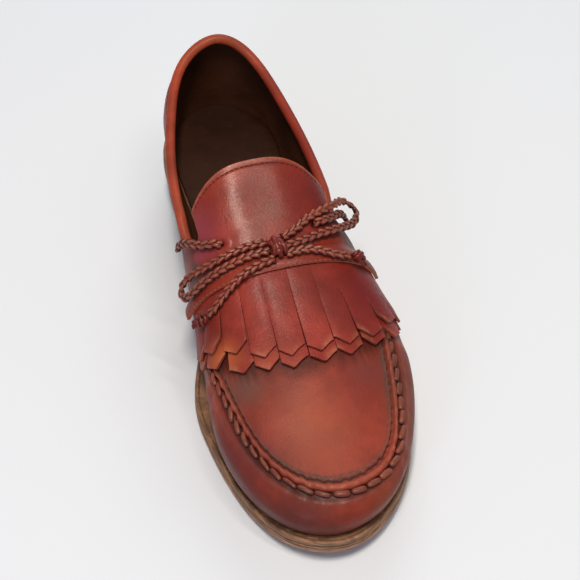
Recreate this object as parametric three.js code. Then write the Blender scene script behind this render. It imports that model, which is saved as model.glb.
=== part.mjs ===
// Kiltie loafer, wearer's left shoe, standing on its sole.
// Millimetres. +X is the lateral side, -Y the toe, +Z up.
import * as THREE from "three";

// Driving sizes
const SOLE_LENGTH = 295;
const BALL_WIDTH = 108;
const HEEL_HEIGHT = 25;
const TOE_SPRING = 8;
const OUTSOLE_THICKNESS = 5;
const WELT_THICKNESS = 3.2;
const TOP_LIFT_THICKNESS = 6;
const INSOLE_THICKNESS = 3;
const QUARTER_HEIGHT = 60;
const INSTEP_HEIGHT = 80;
const UPPER_WALL = 1.8;
const RIDGE_HEIGHT = 2.1;
const RIDGE_WIDTH = 6;
const COLLAR_ROLL_RADIUS = 2.7;
const TONGUE_THICKNESS = 1.8;
const FRINGE_THICKNESS = 1.4;
const FRINGE_POINT = 4.6;
const SLIT_WIDTH = 1;
const LACE_DIAMETER = 4.2;
const KNOT_LENGTH = 13;
const KNOT_DIAMETER = 7.6;
const END_KNOT_LENGTH = 9;
const END_KNOT_DIAMETER = 7.2;
const CLEARANCE = 0.3;

// Counts of facets
const UPPER_COLUMNS = 64;
const SOLE_COLUMNS = 56;
const LACE_SIDES = 8;

// Shares of the sole length where its underside changes
const SEAT_END = 0.1;
const BALL_START = 0.61;
const SPRING_START = 0.76;
const HEEL_BREAST = 0.27;
const BREAST_CURVE = 0.003;

// Turns rows of numbers under named columns into row objects.
function table(columns, rows) {
  return rows.map((row) => Object.fromEntries(columns.map((name, i) => [name, row[i]])));
}

// Stations round the shoe: heel back, lateral side, toe tip, medial side.
// Along is a share of SOLE_LENGTH from the heel, side of BALL_WIDTH, rise of QUARTER_HEIGHT over the sole.
const STATIONS = table(
  ["soleAlong", "soleSide", "footAlong", "footSide", "wideAlong", "wideSide", "wideRise",
    "seamAlong", "seamSide", "rimAlong", "rimSide", "rimRise"],
  [
    [0.0, 0.02, 0.022, 0.02, 0.008, 0.02, 0.37, 0.012, 0.045, 0.034, 0.068, 1.0],
    [0.041, 0.24, 0.058, 0.2, 0.044, 0.232, 0.33, 0.047, 0.232, 0.071, 0.23, 0.87],
    [0.143, 0.335, 0.146, 0.29, 0.143, 0.33, 0.32, 0.147, 0.325, 0.16, 0.315, 0.73],
    [0.287, 0.335, 0.287, 0.285, 0.29, 0.345, 0.36, 0.29, 0.362, 0.29, 0.37, 0.74],
    [0.441, 0.375, 0.441, 0.325, 0.44, 0.4, 0.42, 0.441, 0.393, 0.437, 0.358, 0.88],
    [0.595, 0.479, 0.595, 0.435, 0.592, 0.488, 0.37, 0.6, 0.42, 0.474, 0.25, 1.0],
    [0.715, 0.512, 0.715, 0.465, 0.714, 0.525, 0.33, 0.71, 0.4, 0.494, 0.15, 1.06],
    [0.844, 0.426, 0.835, 0.385, 0.842, 0.43, 0.28, 0.817, 0.355, 0.502, 0.085, 1.08],
    [0.953, 0.234, 0.93, 0.205, 0.95, 0.243, 0.22, 0.909, 0.243, 0.505, 0.03, 1.08],
    [1.0, -0.014, 0.972, -0.014, 0.992, -0.017, 0.17, 0.944, 0.018, 0.506, -0.02, 1.08],
    [0.962, -0.252, 0.938, -0.22, 0.956, -0.255, 0.2, 0.912, -0.175, 0.505, -0.07, 1.08],
    [0.861, -0.4, 0.85, -0.36, 0.86, -0.405, 0.28, 0.84, -0.298, 0.501, -0.125, 1.06],
    [0.73, -0.472, 0.73, -0.415, 0.738, -0.452, 0.33, 0.742, -0.355, 0.492, -0.19, 1.03],
    [0.602, -0.457, 0.604, -0.365, 0.606, -0.412, 0.37, 0.62, -0.388, 0.472, -0.28, 0.96],
    [0.446, -0.305, 0.448, -0.262, 0.446, -0.383, 0.5, 0.446, -0.38, 0.434, -0.358, 0.88],
    [0.286, -0.282, 0.286, -0.24, 0.286, -0.318, 0.48, 0.286, -0.338, 0.286, -0.35, 0.75],
    [0.144, -0.303, 0.147, -0.258, 0.144, -0.288, 0.34, 0.147, -0.28, 0.152, -0.258, 0.73],
    [0.042, -0.21, 0.06, -0.175, 0.046, -0.205, 0.33, 0.047, -0.185, 0.06, -0.13, 0.87],
  ],
);

// The instep's top line: along, rise over the sole as a share of INSTEP_HEIGHT, fullness of the section.
const INSTEP_LINE = table(
  ["along", "rise", "fullness"],
  [
    [0.35, 0.985, 3.2],
    [0.41, 0.925, 3.1],
    [0.471, 0.85, 2.9],
    [0.573, 0.745, 2.5],
    [0.665, 0.622, 2.3],
    [0.767, 0.512, 2.2],
    [0.868, 0.405, 2.2],
    [0.95, 0.3, 2.2],
  ],
);

// The tongue from its raw top edge to its stitched front edge. Reach is the turn round the instep,
// 0 at the top line and 1 at the widest line; lift is over the upper.
const TONGUE_ROWS = table(
  ["centre", "sides", "medial", "lateral", "lift"],
  [
    [0.379, 0.412, 0.5, 0.5, 0.4],
    [0.4, 0.428, 0.49, 0.49, 0.4],
    [0.425, 0.446, 0.48, 0.48, 0.4],
    [0.45, 0.464, 0.5, 0.5, 0.4],
    [0.474, 0.482, 0.62, 0.62, 0.4],
    [0.498, 0.5, 0.74, 0.74, 0.4],
    [0.525, 0.522, 0.8, 0.8, 0.9],
    [0.546, 0.54, 0.82, 0.82, 4],
    [0.563, 0.555, 0.83, 0.83, 4],
  ],
);

const TONGUE_COLUMNS = 21;
const TONGUE_ARCH = 1.7;

// The tips of the fringe strips, medial to lateral: turn round the instep and along.
const UPPER_TIPS = table(
  ["turn", "along"],
  [
    [-0.79, 0.642],
    [-0.59, 0.654],
    [-0.395, 0.676],
    [-0.196, 0.701],
    [-0.043, 0.71],
    [0.087, 0.713],
    [0.234, 0.708],
    [0.39, 0.698],
    [0.6, 0.669],
    [0.8, 0.651],
  ],
);
const LOWER_TIPS = table(
  ["turn", "along"],
  [
    [-0.83, 0.654],
    [-0.6, 0.68],
    [-0.38, 0.711],
    [-0.2, 0.722],
    [-0.043, 0.729],
    [0.095, 0.73],
    [0.25, 0.724],
    [0.42, 0.71],
    [0.63, 0.69],
    [0.86, 0.658],
  ],
);
const ROOT_SPREAD = 0.86;
const FRINGE_ROOT = 0.551;
const CURL = 1.6;

// Half the width of an outermost strip, as a turn
const FRINGE_SIDE = 0.09;

// Rows of points down a strip, and how much of the slit is open at its root and at its tip.
const STRIP_SHARES = [0, 0.14, 0.38, 0.62, 0.84, 1];
const SLIT_AT_ROOT = 0.25;
const SLIT_AT_TIP = 0.75;
const FRINGE_LIFT = 0.35;
const LAYER_GAP = 0.45;

// Where round the shoe the quarter passes into the vamp, and the vamp's wall into the toe's.
const VAMP_FROM = 3.6;
const VAMP_TO = 4.25;
const TOE_FROM = 6.3;
const TOE_TO = 7.4;
const ROLL_END = 3.9;
const TOE_WALL_LEAN = 1.7;
const TOE_WALL_ROUND = 1.3;

// The seam's ridge grows out from under the fringe between these shares of the length.
const RIDGE_FROM = 0.63;
const RIDGE_TO = 0.7;

// The ridge's section: across as a share of its width, lift of its height.
const RIDGE_SECTION = table(
  ["across", "lift"],
  [
    [-0.5, -0.06],
    [-0.28, 0.8],
    [0, 1],
    [0.28, 0.8],
    [0.5, -0.1],
  ],
);

// Where the points of the upper's wall lie: below the seam as sections, above it as shares up to the roll.
const WALL_PLACES = [0, 0.35, 0.65, 0.85, 1, 1.25, 1.5, 1.75];
const PLUG_SHARES = [0.2, 0.38, 0.56, 0.74, 0.9];
const LINING_PLACES = [2.5, 2.25, 2, 1.7, 1.35, 1, 0.65, 0.35, 0];

// The collar's roll: how far it is set in and tucked round, and its facets.
const ROLL_INSET = 0.6;
const ROLL_TUCK = 0.8;
const ROLL_POINTS = 7;
const ROLL_SHARE = 1.8;

// The sole's edges: inset, and height as a share of the layer's thickness.
const OUTSOLE_EDGE = table(
  ["inset", "share"],
  [
    [1.2, 0],
    [0.2, 0.16],
    [0, 0.44],
    [0.2, 0.76],
    [0.9, 1],
  ],
);
const WELT_EDGE = table(
  ["inset", "share"],
  [
    [1.1, 0],
    [0.3, 0.19],
    [0.4, 0.75],
    [1.2, 1],
  ],
);

// The heel layers' taper, rounded edge and facets.
const HEEL_TAPER = 1.6;
const HEEL_EDGE = 0.8;
const HEEL_SIDE_POINTS = 15;
const BREAST_POINTS = 4;
const BREAST_CORNER = 0.05;
const INSOLE_BEVEL = 1.7;

// The lace's routes as places over the instep: along, turn round it, and lift off it in millimetres.
const LACE_STEP = 6.5;
const ROUTE_COLUMNS = ["along", "turn", "lift"];
const LACE_BAR_MEDIAL = table(ROUTE_COLUMNS, [
  [0.437, -0.79, 4.7],
  [0.445, -0.67, 4.8],
  [0.464, -0.53, 4.9],
  [0.482, -0.4, 4.8],
  [0.49, -0.31, 4.6],
]);
const LACE_BAR_LATERAL = table(ROUTE_COLUMNS, [
  [0.453, 0.74, 4.7],
  [0.457, 0.61, 5],
  [0.468, 0.49, 4.9],
  [0.484, 0.36, 4.8],
  [0.491, 0.27, 4.6],
]);
const LACE_LOOP_MEDIAL = table(ROUTE_COLUMNS, [
  [0.516, -0.013, 5.8],
  [0.515, -0.09, 5.2],
  [0.515, -0.17, 5],
  [0.516, -0.27, 5.1],
  [0.519, -0.41, 5.3],
  [0.515, -0.58, 5.9],
  [0.516, -0.7, 8],
  [0.533, -0.68, 9],
  [0.54, -0.54, 8.4],
  [0.538, -0.38, 7.8],
  [0.536, -0.24, 7.5],
  [0.533, -0.14, 7],
  [0.532, -0.016, 6.8],
]);
const LACE_END_MEDIAL = table(ROUTE_COLUMNS, [
  [0.549, -0.0085, 8.4],
  [0.555, -0.12, 8.4],
  [0.564, -0.23, 8.2],
  [0.572, -0.31, 7.4],
  [0.579, -0.38, 6.5],
  [0.586, -0.45, 6.2],
  [0.591, -0.53, 6.2],
]);
const LACE_LOOP_LATERAL = table(ROUTE_COLUMNS, [
  [0.513, 0.034, 5.6],
  [0.499, 0.12, 5],
  [0.486, 0.19, 5],
  [0.472, 0.31, 5.8],
  [0.452, 0.48, 6.8],
  [0.439, 0.62, 9],
  [0.454, 0.66, 11.5],
  [0.477, 0.61, 9],
  [0.492, 0.5, 7],
  [0.507, 0.34, 6],
  [0.516, 0.22, 5.4],
  [0.523, 0.14, 5.6],
  [0.529, 0.034, 6.3],
]);
const LACE_END_LATERAL = table(ROUTE_COLUMNS, [
  [0.545, 0.031, 8.2],
  [0.543, 0.14, 8.2],
  [0.548, 0.22, 8.2],
  [0.555, 0.3, 8.4],
  [0.557, 0.39, 8.8],
]);
const [BOW_KNOT, END_KNOT_MEDIAL, END_KNOT_LATERAL] = table(ROUTE_COLUMNS, [
  [0.53, 0.005, 7.9],
  [0.593, -0.592, 8],
  [0.558, 0.447, 10.2],
]);

// Finishes
const VAMP_LEATHER = { color: 0x96483c, roughness: 0.42, metalness: 0 };
const TONGUE_LEATHER = { color: 0x8a3f35, roughness: 0.36, metalness: 0 };
const FRINGE_LEATHER = { color: 0x93453a, roughness: 0.4, metalness: 0 };
const LACE_LEATHER = { color: 0xa35a40, roughness: 0.45, metalness: 0 };
const WELT_LEATHER = { color: 0x6b4a30, roughness: 0.7, metalness: 0 };
const SOLE_LEATHER = { color: 0x8a6a45, roughness: 0.7, metalness: 0 };
const HEEL_LEATHER = { color: 0x4d3222, roughness: 0.6, metalness: 0 };
const TOP_LIFT_RUBBER = { color: 0x1d1b1a, roughness: 0.85, metalness: 0 };
const INSOLE_LEATHER = { color: 0x6e4f35, roughness: 0.7, metalness: 0 };

// A share that eases from 0 to 1 between two values.
function ease(from, to, at) {
  return THREE.MathUtils.smoothstep(at, from, to);
}

function cubic(low, lowSlope, high, highSlope, t) {
  const rest = 1 - t;
  const start = rest * rest * ((1 + 2 * t) * low + t * lowSlope);
  return start + t * t * ((1 + 2 * rest) * high - rest * highSlope);
}

// A smooth closed line through values at 0, 1, 2 and so on.
function closedSpline(values) {
  const count = values.length;
  const slopes = values.map(() => 0);
  for (let pass = 0; pass < 40; pass++) {
    for (let i = 0; i < count; i++) {
      const before = (i + count - 1) % count;
      const after = (i + 1) % count;
      slopes[i] = (3 * (values[after] - values[before]) - slopes[before] - slopes[after]) / 4;
    }
  }
  return (at) => {
    const wrapped = THREE.MathUtils.euclideanModulo(at, count);
    const i = Math.floor(wrapped) % count;
    const after = (i + 1) % count;
    return cubic(values[i], slopes[i], values[after], slopes[after], wrapped - Math.floor(wrapped));
  };
}

// A smooth open line through values at the places in knots, straight beyond its ends.
function openSpline(knots, values) {
  const last = knots.length - 1;
  const slopes = values.map(() => 0);
  for (let pass = 0; pass < 60; pass++) {
    for (let i = 0; i <= last; i++) {
      const before = i > 0 ? 1 / (knots[i] - knots[i - 1]) : 0;
      const after = i < last ? 1 / (knots[i + 1] - knots[i]) : 0;
      const rise = (i > 0 ? 3 * (values[i] - values[i - 1]) * before * before : 0)
        + (i < last ? 3 * (values[i + 1] - values[i]) * after * after : 0);
      const pull = (i > 0 ? slopes[i - 1] * before : 0) + (i < last ? slopes[i + 1] * after : 0);
      slopes[i] = (rise - pull) / (2 * (before + after));
    }
  }
  return (at) => {
    if (at <= knots[0]) return values[0] + slopes[0] * (at - knots[0]);
    if (at >= knots[last]) return values[last] + slopes[last] * (at - knots[last]);
    let i = 0;
    while (at > knots[i + 1]) i++;
    const span = knots[i + 1] - knots[i];
    return cubic(values[i], slopes[i] * span, values[i + 1], slopes[i + 1] * span, (at - knots[i]) / span);
  };
}

function column(rows, name) {
  return rows.map((row) => row[name]);
}

const station = {};
for (const name of Object.keys(STATIONS[0])) station[name] = closedSpline(column(STATIONS, name));
const TOE_STATION = STATIONS.length / 2;

const instepKnots = column(INSTEP_LINE, "along");
const instepRise = openSpline(instepKnots, column(INSTEP_LINE, "rise"));
const instepFullness = openSpline(instepKnots, column(INSTEP_LINE, "fullness"));

const lengthwise = (along) => (0.5 - along) * SOLE_LENGTH;
const alongOf = (y) => 0.5 - y / SOLE_LENGTH;

// Height of the outsole's underside: heel seat, arch, ball and toe spring.
function underside(along) {
  const spring = Math.max(0, (along - SPRING_START) / (1 - SPRING_START));
  return HEEL_HEIGHT * (1 - ease(SEAT_END, BALL_START, along)) + TOE_SPRING * spring * spring;
}

const soleTop = (along) => underside(along) + OUTSOLE_THICKNESS + WELT_THICKNESS + 2 * CLEARANCE;

// The place round the shoe where a line of the table reaches a share of the length, on one side.
function stationAt(name, along, lateral) {
  let heelward = lateral ? 0 : 2 * TOE_STATION;
  let toeward = TOE_STATION;
  for (let step = 0; step < 30; step++) {
    const middle = (heelward + toeward) / 2;
    if (station[name](middle) < along) heelward = middle;
    else toeward = middle;
  }
  return (heelward + toeward) / 2;
}

// The widest line of the upper at a share of the length, on one side.
function widestAt(along, lateral) {
  const at = stationAt("wideAlong", along, lateral);
  return { x: station.wideSide(at) * BALL_WIDTH, z: soleTop(along) + station.wideRise(at) * QUARTER_HEIGHT };
}

const instepTop = (along) => soleTop(along) + instepRise(along) * INSTEP_HEIGHT;

// A point of the instep's surface: turn is -1 at the medial widest line, 0 on top, 1 at the lateral one.
function instepPoint(along, turn) {
  const edge = widestAt(along, turn >= 0);
  const angle = (1 - Math.min(1, Math.abs(turn))) * Math.PI / 2;
  const x = edge.x * Math.max(0, Math.cos(angle)) ** (2 / instepFullness(along));
  return new THREE.Vector3(x, lengthwise(along), edge.z + (instepTop(along) - edge.z) * Math.sin(angle));
}

// The same surface's height over a place in plan.
function instepHeight(along, x) {
  const edge = widestAt(along, x >= 0);
  const share = Math.min(1, Math.abs(x / edge.x)) ** instepFullness(along);
  return edge.z + (instepTop(along) - edge.z) * Math.sqrt(1 - share);
}

// A point lifted off the instep's surface, square to it.
function overInstep(along, turn, lift) {
  const step = 0.004;
  const reach = 0.06;
  const lengthwiseRun = instepPoint(along + step, turn).sub(instepPoint(along - step, turn));
  const crossRun = instepPoint(along, Math.min(1, turn + reach));
  crossRun.sub(instepPoint(along, Math.max(-1, turn - reach)));
  const normal = lengthwiseRun.cross(crossRun).normalize();
  return instepPoint(along, turn).addScaledVector(normal, lift);
}

// Joins vertices and faces into a mesh.
function solid(name, points, faces, look) {
  const geometry = new THREE.BufferGeometry();
  const positions = points.flatMap((point) => point.toArray());
  geometry.setAttribute("position", new THREE.Float32BufferAttribute(positions, 3));
  geometry.setIndex(faces.flat());
  geometry.computeVertexNormals();
  const mesh = new THREE.Mesh(geometry, new THREE.MeshStandardMaterial(look));
  mesh.name = name;
  return mesh;
}

function quad(a, b, c, d) {
  return [[a, b, c], [a, c, d]];
}

// Closed profiles lofted round a closed row of columns, as a ring with a wall.
function ringSolid(name, profiles, look) {
  const rows = profiles[0].length;
  const faces = [];
  for (let i = 0; i < profiles.length; i++) {
    const next = (i + 1) % profiles.length;
    for (let j = 0; j < rows; j++) {
      const above = (j + 1) % rows;
      faces.push(...quad(i * rows + j, i * rows + above, next * rows + above, next * rows + j));
    }
  }
  return solid(name, profiles.flat(), faces, look);
}

// Stacked closed outlines with a cap across the lowest and the highest, heel to toe.
function plateSolid(name, outlines, look) {
  const count = outlines[0].length;
  const top = (outlines.length - 1) * count;
  const faces = [];
  for (let row = 0; row < top; row += count) {
    for (let i = 0; i < count; i++) {
      const next = (i + 1) % count;
      faces.push(...quad(row + i, row + count + i, row + count + next, row + next));
    }
  }
  for (let i = 0; i < count / 2; i++) {
    const mirror = (count - i) % count;
    const mirrorNext = count - i - 1;
    if (i === 0) {
      faces.push([0, 1, mirrorNext], [top, top + mirrorNext, top + 1]);
    } else if (i + 1 === mirrorNext) {
      faces.push([i, i + 1, mirror], [top + i, top + mirror, top + i + 1]);
    } else {
      faces.push(...quad(i, i + 1, mirrorNext, mirror));
      faces.push(...quad(top + i, top + mirror, top + mirrorNext, top + i + 1));
    }
  }
  return solid(name, outlines.flat(), faces, look);
}

// A sheet with a thickness over a grid of places; cells that are not present stay open.
function sheetSolid(name, rows, columns, place, present, look) {
  const points = [];
  const faces = [];
  const at = (i, j, side) => (i * columns + j) * 2 + side;
  for (let i = 0; i < rows; i++) {
    for (let j = 0; j < columns; j++) points.push(place(i, j, 0), place(i, j, 1));
  }
  const filled = (i, j) => i >= 0 && j >= 0 && i < rows - 1 && j < columns - 1 && present(i, j);
  for (let i = 0; i < rows - 1; i++) {
    for (let j = 0; j < columns - 1; j++) {
      if (!filled(i, j)) continue;
      faces.push(...quad(at(i, j, 1), at(i + 1, j, 1), at(i + 1, j + 1, 1), at(i, j + 1, 1)));
      faces.push(...quad(at(i, j, 0), at(i, j + 1, 0), at(i + 1, j + 1, 0), at(i + 1, j, 0)));
      if (!filled(i - 1, j)) faces.push(...quad(at(i, j, 0), at(i, j, 1), at(i, j + 1, 1), at(i, j + 1, 0)));
      if (!filled(i + 1, j)) {
        faces.push(...quad(at(i + 1, j + 1, 0), at(i + 1, j + 1, 1), at(i + 1, j, 1), at(i + 1, j, 0)));
      }
      if (!filled(i, j - 1)) faces.push(...quad(at(i + 1, j, 0), at(i + 1, j, 1), at(i, j, 1), at(i, j, 0)));
      if (!filled(i, j + 1)) {
        faces.push(...quad(at(i, j + 1, 0), at(i, j + 1, 1), at(i + 1, j + 1, 1), at(i + 1, j + 1, 0)));
      }
    }
  }
  return solid(name, points, faces, look);
}

// A closed outline pulled in by an inset, with its height given by the length.
function insetLoop(edge, inset, height) {
  return edge.map((point, i) => {
    const before = edge[(i + edge.length - 1) % edge.length];
    const run = edge[(i + 1) % edge.length].clone().sub(before).normalize();
    const y = point.y - run.x * inset;
    return new THREE.Vector3(point.x + run.y * inset, y, height(alongOf(y)));
  });
}

function edgePoint(at) {
  return new THREE.Vector2(station.soleSide(at) * BALL_WIDTH, lengthwise(station.soleAlong(at)));
}

// The whole sole's outline.
function soleLoop(inset, height) {
  const edge = [];
  for (let i = 0; i < SOLE_COLUMNS; i++) edge.push(edgePoint(i * STATIONS.length / SOLE_COLUMNS));
  return insetLoop(edge, inset, height);
}

// The outline behind the heel breast, round the back and across the breast, which is a little rounded.
function heelLoop(inset, height) {
  const corners = [stationAt("soleAlong", HEEL_BREAST, true), stationAt("soleAlong", HEEL_BREAST, false)];
  const middle = new THREE.Vector2(0, lengthwise(HEEL_BREAST + BREAST_CURVE));
  middle.x = (edgePoint(corners[0]).x + edgePoint(corners[1]).x) / 2;
  const half = (corner, start) => {
    const points = [];
    for (let i = 0; i <= HEEL_SIDE_POINTS; i++) {
      const share = (1 - BREAST_CORNER) * i / HEEL_SIDE_POINTS;
      points.push(edgePoint(THREE.MathUtils.lerp(start, corner, share)));
    }
    const end = edgePoint(corner);
    for (let i = 0; i < BREAST_POINTS; i++) {
      const share = THREE.MathUtils.lerp(BREAST_CORNER, 1, i / BREAST_POINTS);
      const x = THREE.MathUtils.lerp(end.x, middle.x, share);
      points.push(new THREE.Vector2(x, THREE.MathUtils.lerp(end.y, middle.y, share * (2 - share))));
    }
    return points;
  };
  const lateral = half(corners[0], 0);
  const medial = half(corners[1], 2 * TOE_STATION).slice(1).reverse();
  return insetLoop([...lateral, middle, ...medial], inset, height);
}

// The shares of a place round the shoe that belong to the vamp and to the toe.
function vampShares(at) {
  const fromHeel = Math.min(at, 2 * TOE_STATION - at);
  return { vamp: ease(VAMP_FROM, VAMP_TO, fromHeel), toe: ease(TOE_FROM, TOE_TO, fromHeel) };
}

// The turn of a place on the instep that lies over x.
function turnOf(along, x) {
  const edge = widestAt(along, x >= 0);
  const share = Math.min(1, Math.abs(x / edge.x)) ** (instepFullness(along) / 2);
  return Math.sign(x) * (1 - Math.acos(share) * 2 / Math.PI);
}

// One section of the upper's outside: 0 at the sole, 1 at the widest line, 2 at the seam, 3 at the rim.
function upperSection(at) {
  const { vamp, toe } = vampShares(at);
  const place = (name, z) => {
    const x = station[name + "Side"](at) * BALL_WIDTH;
    const along = station[name + "Along"](at);
    return new THREE.Vector3(x, lengthwise(along), z(along, x));
  };
  const foot = place("foot", soleTop);
  const wide = place("wide", (along) => soleTop(along) + station.wideRise(at) * QUARTER_HEIGHT);
  const rim = place("rim", (along, x) => {
    const collar = soleTop(along) + station.rimRise(at) * QUARTER_HEIGHT;
    return vamp > 0 ? THREE.MathUtils.lerp(collar, instepHeight(along, x), vamp) : collar;
  });
  const seam = place("seam", (along, x) => {
    const middle = (wide.z + rim.z) / 2;
    return vamp > 0 ? THREE.MathUtils.lerp(middle, instepHeight(along, x), vamp) : middle;
  });
  const seamTurn = turnOf(alongOf(seam.y), seam.x);

  const quarter = (w) => new THREE.Vector3()
    .addScaledVector(wide, (w - 1) * (w - 2) / 2)
    .addScaledVector(seam, w * (2 - w))
    .addScaledVector(rim, w * (w - 1) / 2);
  const instepWall = (w) => instepPoint(
    THREE.MathUtils.lerp(alongOf(wide.y), alongOf(seam.y), w),
    THREE.MathUtils.lerp(Math.sign(wide.x), seamTurn, w),
  );
  const toeWall = (w) => {
    const point = wide.clone().lerp(seam, w ** TOE_WALL_LEAN);
    point.z = THREE.MathUtils.lerp(wide.z, seam.z, 1 - (1 - w) ** TOE_WALL_ROUND);
    return point;
  };
  const plug = (w) => {
    const point = seam.clone().lerp(rim, w - 1);
    point.z = instepHeight(alongOf(point.y), point.x);
    return point;
  };
  const vampPoint = (w) => {
    if (w > 1) return plug(w);
    if (toe === 0) return instepWall(w);
    return toe === 1 ? toeWall(w) : instepWall(w).lerp(toeWall(w), toe);
  };

  return (v) => {
    if (v < 1) {
      const angle = v * Math.PI / 2;
      const point = foot.clone().lerp(wide, Math.sin(angle));
      point.z = wide.z - (wide.z - foot.z) * Math.cos(angle);
      return point;
    }
    if (vamp === 0) return quarter(v - 1);
    return vamp === 1 ? vampPoint(v - 1) : quarter(v - 1).lerp(vampPoint(v - 1), vamp);
  };
}

// The closed profile of the upper's wall at one place: outside with the seam's ridge, rim, inside.
function upperProfile(at) {
  const step = 0.02;
  const section = upperSection(at);
  const before = upperSection(at - step);
  const after = upperSection(at + step);
  const { vamp } = vampShares(at);
  const normalAt = (v) => {
    const up = section(Math.min(3, v + step)).sub(section(Math.max(0, v - step)));
    return up.cross(after(v).sub(before(v))).normalize();
  };
  const wallLength = section(1).distanceTo(section(2));
  const plugLength = section(2).distanceTo(section(3));
  const seamAlong = alongOf(section(2).y);
  const height = RIDGE_HEIGHT * vamp * ease(RIDGE_FROM, RIDGE_TO, seamAlong);

  const rollShare = 1 - ease(ROLL_END, VAMP_TO, Math.min(at, 2 * TOE_STATION - at));
  const radius = THREE.MathUtils.lerp(UPPER_WALL / 2, COLLAR_ROLL_RADIUS, rollShare);
  const reach = Math.max(0.5, 1 - ROLL_SHARE * radius / plugLength);
  const profile = [];
  for (const v of WALL_PLACES) profile.push(section(v));
  for (const { across, lift } of RIDGE_SECTION) {
    const v = 2 + across * RIDGE_WIDTH / (across < 0 ? wallLength : plugLength);
    profile.push(section(v).addScaledVector(normalAt(v), lift * height));
  }
  for (const share of PLUG_SHARES) profile.push(section(2 + share * reach));

  const top = section(3);
  const rise = section(3).sub(section(3 - step)).normalize();
  const outward = normalAt(3 - step);
  const centre = top.clone().addScaledVector(rise, -radius);
  centre.addScaledVector(outward, -THREE.MathUtils.lerp(UPPER_WALL / 2, ROLL_INSET * radius, rollShare));
  const start = THREE.MathUtils.lerp(0, -ROLL_TUCK, rollShare);
  for (let i = 0; i <= ROLL_POINTS; i++) {
    const angle = THREE.MathUtils.lerp(start, Math.PI - start, i / ROLL_POINTS);
    profile.push(centre.clone()
      .addScaledVector(outward, radius * Math.cos(angle))
      .addScaledVector(rise, radius * Math.sin(angle)));
  }
  for (const v of [2 + PLUG_SHARES[4] * reach, ...LINING_PLACES]) {
    profile.push(section(v).addScaledVector(normalAt(v), -UPPER_WALL));
  }
  return profile;
}

function makeUpper() {
  const profiles = [];
  for (let i = 0; i < UPPER_COLUMNS; i++) profiles.push(upperProfile(i * STATIONS.length / UPPER_COLUMNS));
  return ringSolid("upper", profiles, VAMP_LEATHER);
}

function makeSole() {
  const layer = (name, edge, foot, thickness, look) => plateSolid(
    name,
    edge.map(({ inset, share }) => soleLoop(inset, (along) => underside(along) + foot + share * thickness)),
    look,
  );
  const belowSole = (drop) => (along) => underside(along) - CLEARANCE - drop;
  const stackFoot = TOP_LIFT_THICKNESS + CLEARANCE;
  return [
    layer("outsole", OUTSOLE_EDGE, 0, OUTSOLE_THICKNESS, SOLE_LEATHER),
    layer("welt", WELT_EDGE, OUTSOLE_THICKNESS + CLEARANCE, WELT_THICKNESS, WELT_LEATHER),
    plateSolid("heel_stack", [
      heelLoop(HEEL_TAPER + HEEL_EDGE / 2, () => stackFoot),
      heelLoop(HEEL_TAPER, () => stackFoot + HEEL_EDGE),
      heelLoop(HEEL_EDGE, belowSole(HEEL_EDGE)),
      heelLoop(1.5 * HEEL_EDGE, belowSole(0)),
    ], HEEL_LEATHER),
    plateSolid("top_lift", [
      heelLoop(HEEL_TAPER + 2 * HEEL_EDGE, () => 0),
      heelLoop(HEEL_TAPER + HEEL_EDGE, () => HEEL_EDGE),
      heelLoop(HEEL_TAPER + HEEL_EDGE / 2, () => TOP_LIFT_THICKNESS),
    ], TOP_LIFT_RUBBER),
  ];
}

// The insole lies on the upper's turned-in edge and closes the shoe underneath.
function makeInsole() {
  const floor = UPPER_WALL + 2 * CLEARANCE;
  const loop = (spread, rise) => {
    const points = [];
    for (let i = 0; i < SOLE_COLUMNS; i++) {
      const at = i * STATIONS.length / SOLE_COLUMNS;
      const section = upperSection(at);
      const outward = section(0.5).sub(section(0)).setZ(0).normalize();
      const point = section(0).addScaledVector(outward, spread);
      point.z = soleTop(alongOf(point.y)) + rise;
      points.push(point);
    }
    return points;
  };
  const outlines = [loop(-INSOLE_BEVEL, floor), loop(0, floor + INSOLE_THICKNESS)];
  return plateSolid("insole", outlines, INSOLE_LEATHER);
}

function makeTongue() {
  const rows = TONGUE_ROWS.length;
  const place = (i, j, side) => {
    const row = TONGUE_ROWS[i];
    const across = 2 * j / (TONGUE_COLUMNS - 1) - 1;
    const turn = across * (across < 0 ? row.medial : row.lateral);
    const along = THREE.MathUtils.lerp(row.centre, row.sides, Math.abs(across) ** TONGUE_ARCH);
    return overInstep(along, turn, row.lift + side * TONGUE_THICKNESS);
  };
  return sheetSolid("tongue", rows, TONGUE_COLUMNS, place, () => true, TONGUE_LEATHER);
}

// One layer of the fringe: a band under the tongue's front edge, cut into strips with pointed ends.
function makeFringe(name, tips, lift) {
  const turnPerMm = 1 / (0.65 * BALL_WIDTH);
  const border = (i) => {
    if (i === 0) return tips[0].turn - FRINGE_SIDE;
    if (i === tips.length) return tips[i - 1].turn + FRINGE_SIDE;
    return (tips[i - 1].turn + tips[i].turn) / 2;
  };
  const place = (i, j, side) => {
    const strip = Math.floor(j / 3);
    const part = j % 3;
    const share = STRIP_SHARES[i];
    const gap = SLIT_WIDTH * turnPerMm * THREE.MathUtils.lerp(SLIT_AT_ROOT, SLIT_AT_TIP, share);
    const turns = [border(strip) + gap, (border(strip) + border(strip + 1)) / 2, border(strip + 1) - gap];
    const shoulder = tips[strip].along - FRINGE_POINT / SOLE_LENGTH;
    const point = part === 1 && share === 1 ? tips[strip].along : 0;
    const along = point || THREE.MathUtils.lerp(FRINGE_ROOT, shoulder, share);
    const turn = turns[part] * THREE.MathUtils.lerp(ROOT_SPREAD, 1, share);
    return overInstep(along, turn, lift + side * FRINGE_THICKNESS + CURL * share ** 3);
  };
  const present = (i, j) => i === 0 || j % 3 !== 2;
  return sheetSolid(name, STRIP_SHARES.length, tips.length * 3, place, present, FRINGE_LEATHER);
}

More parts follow.
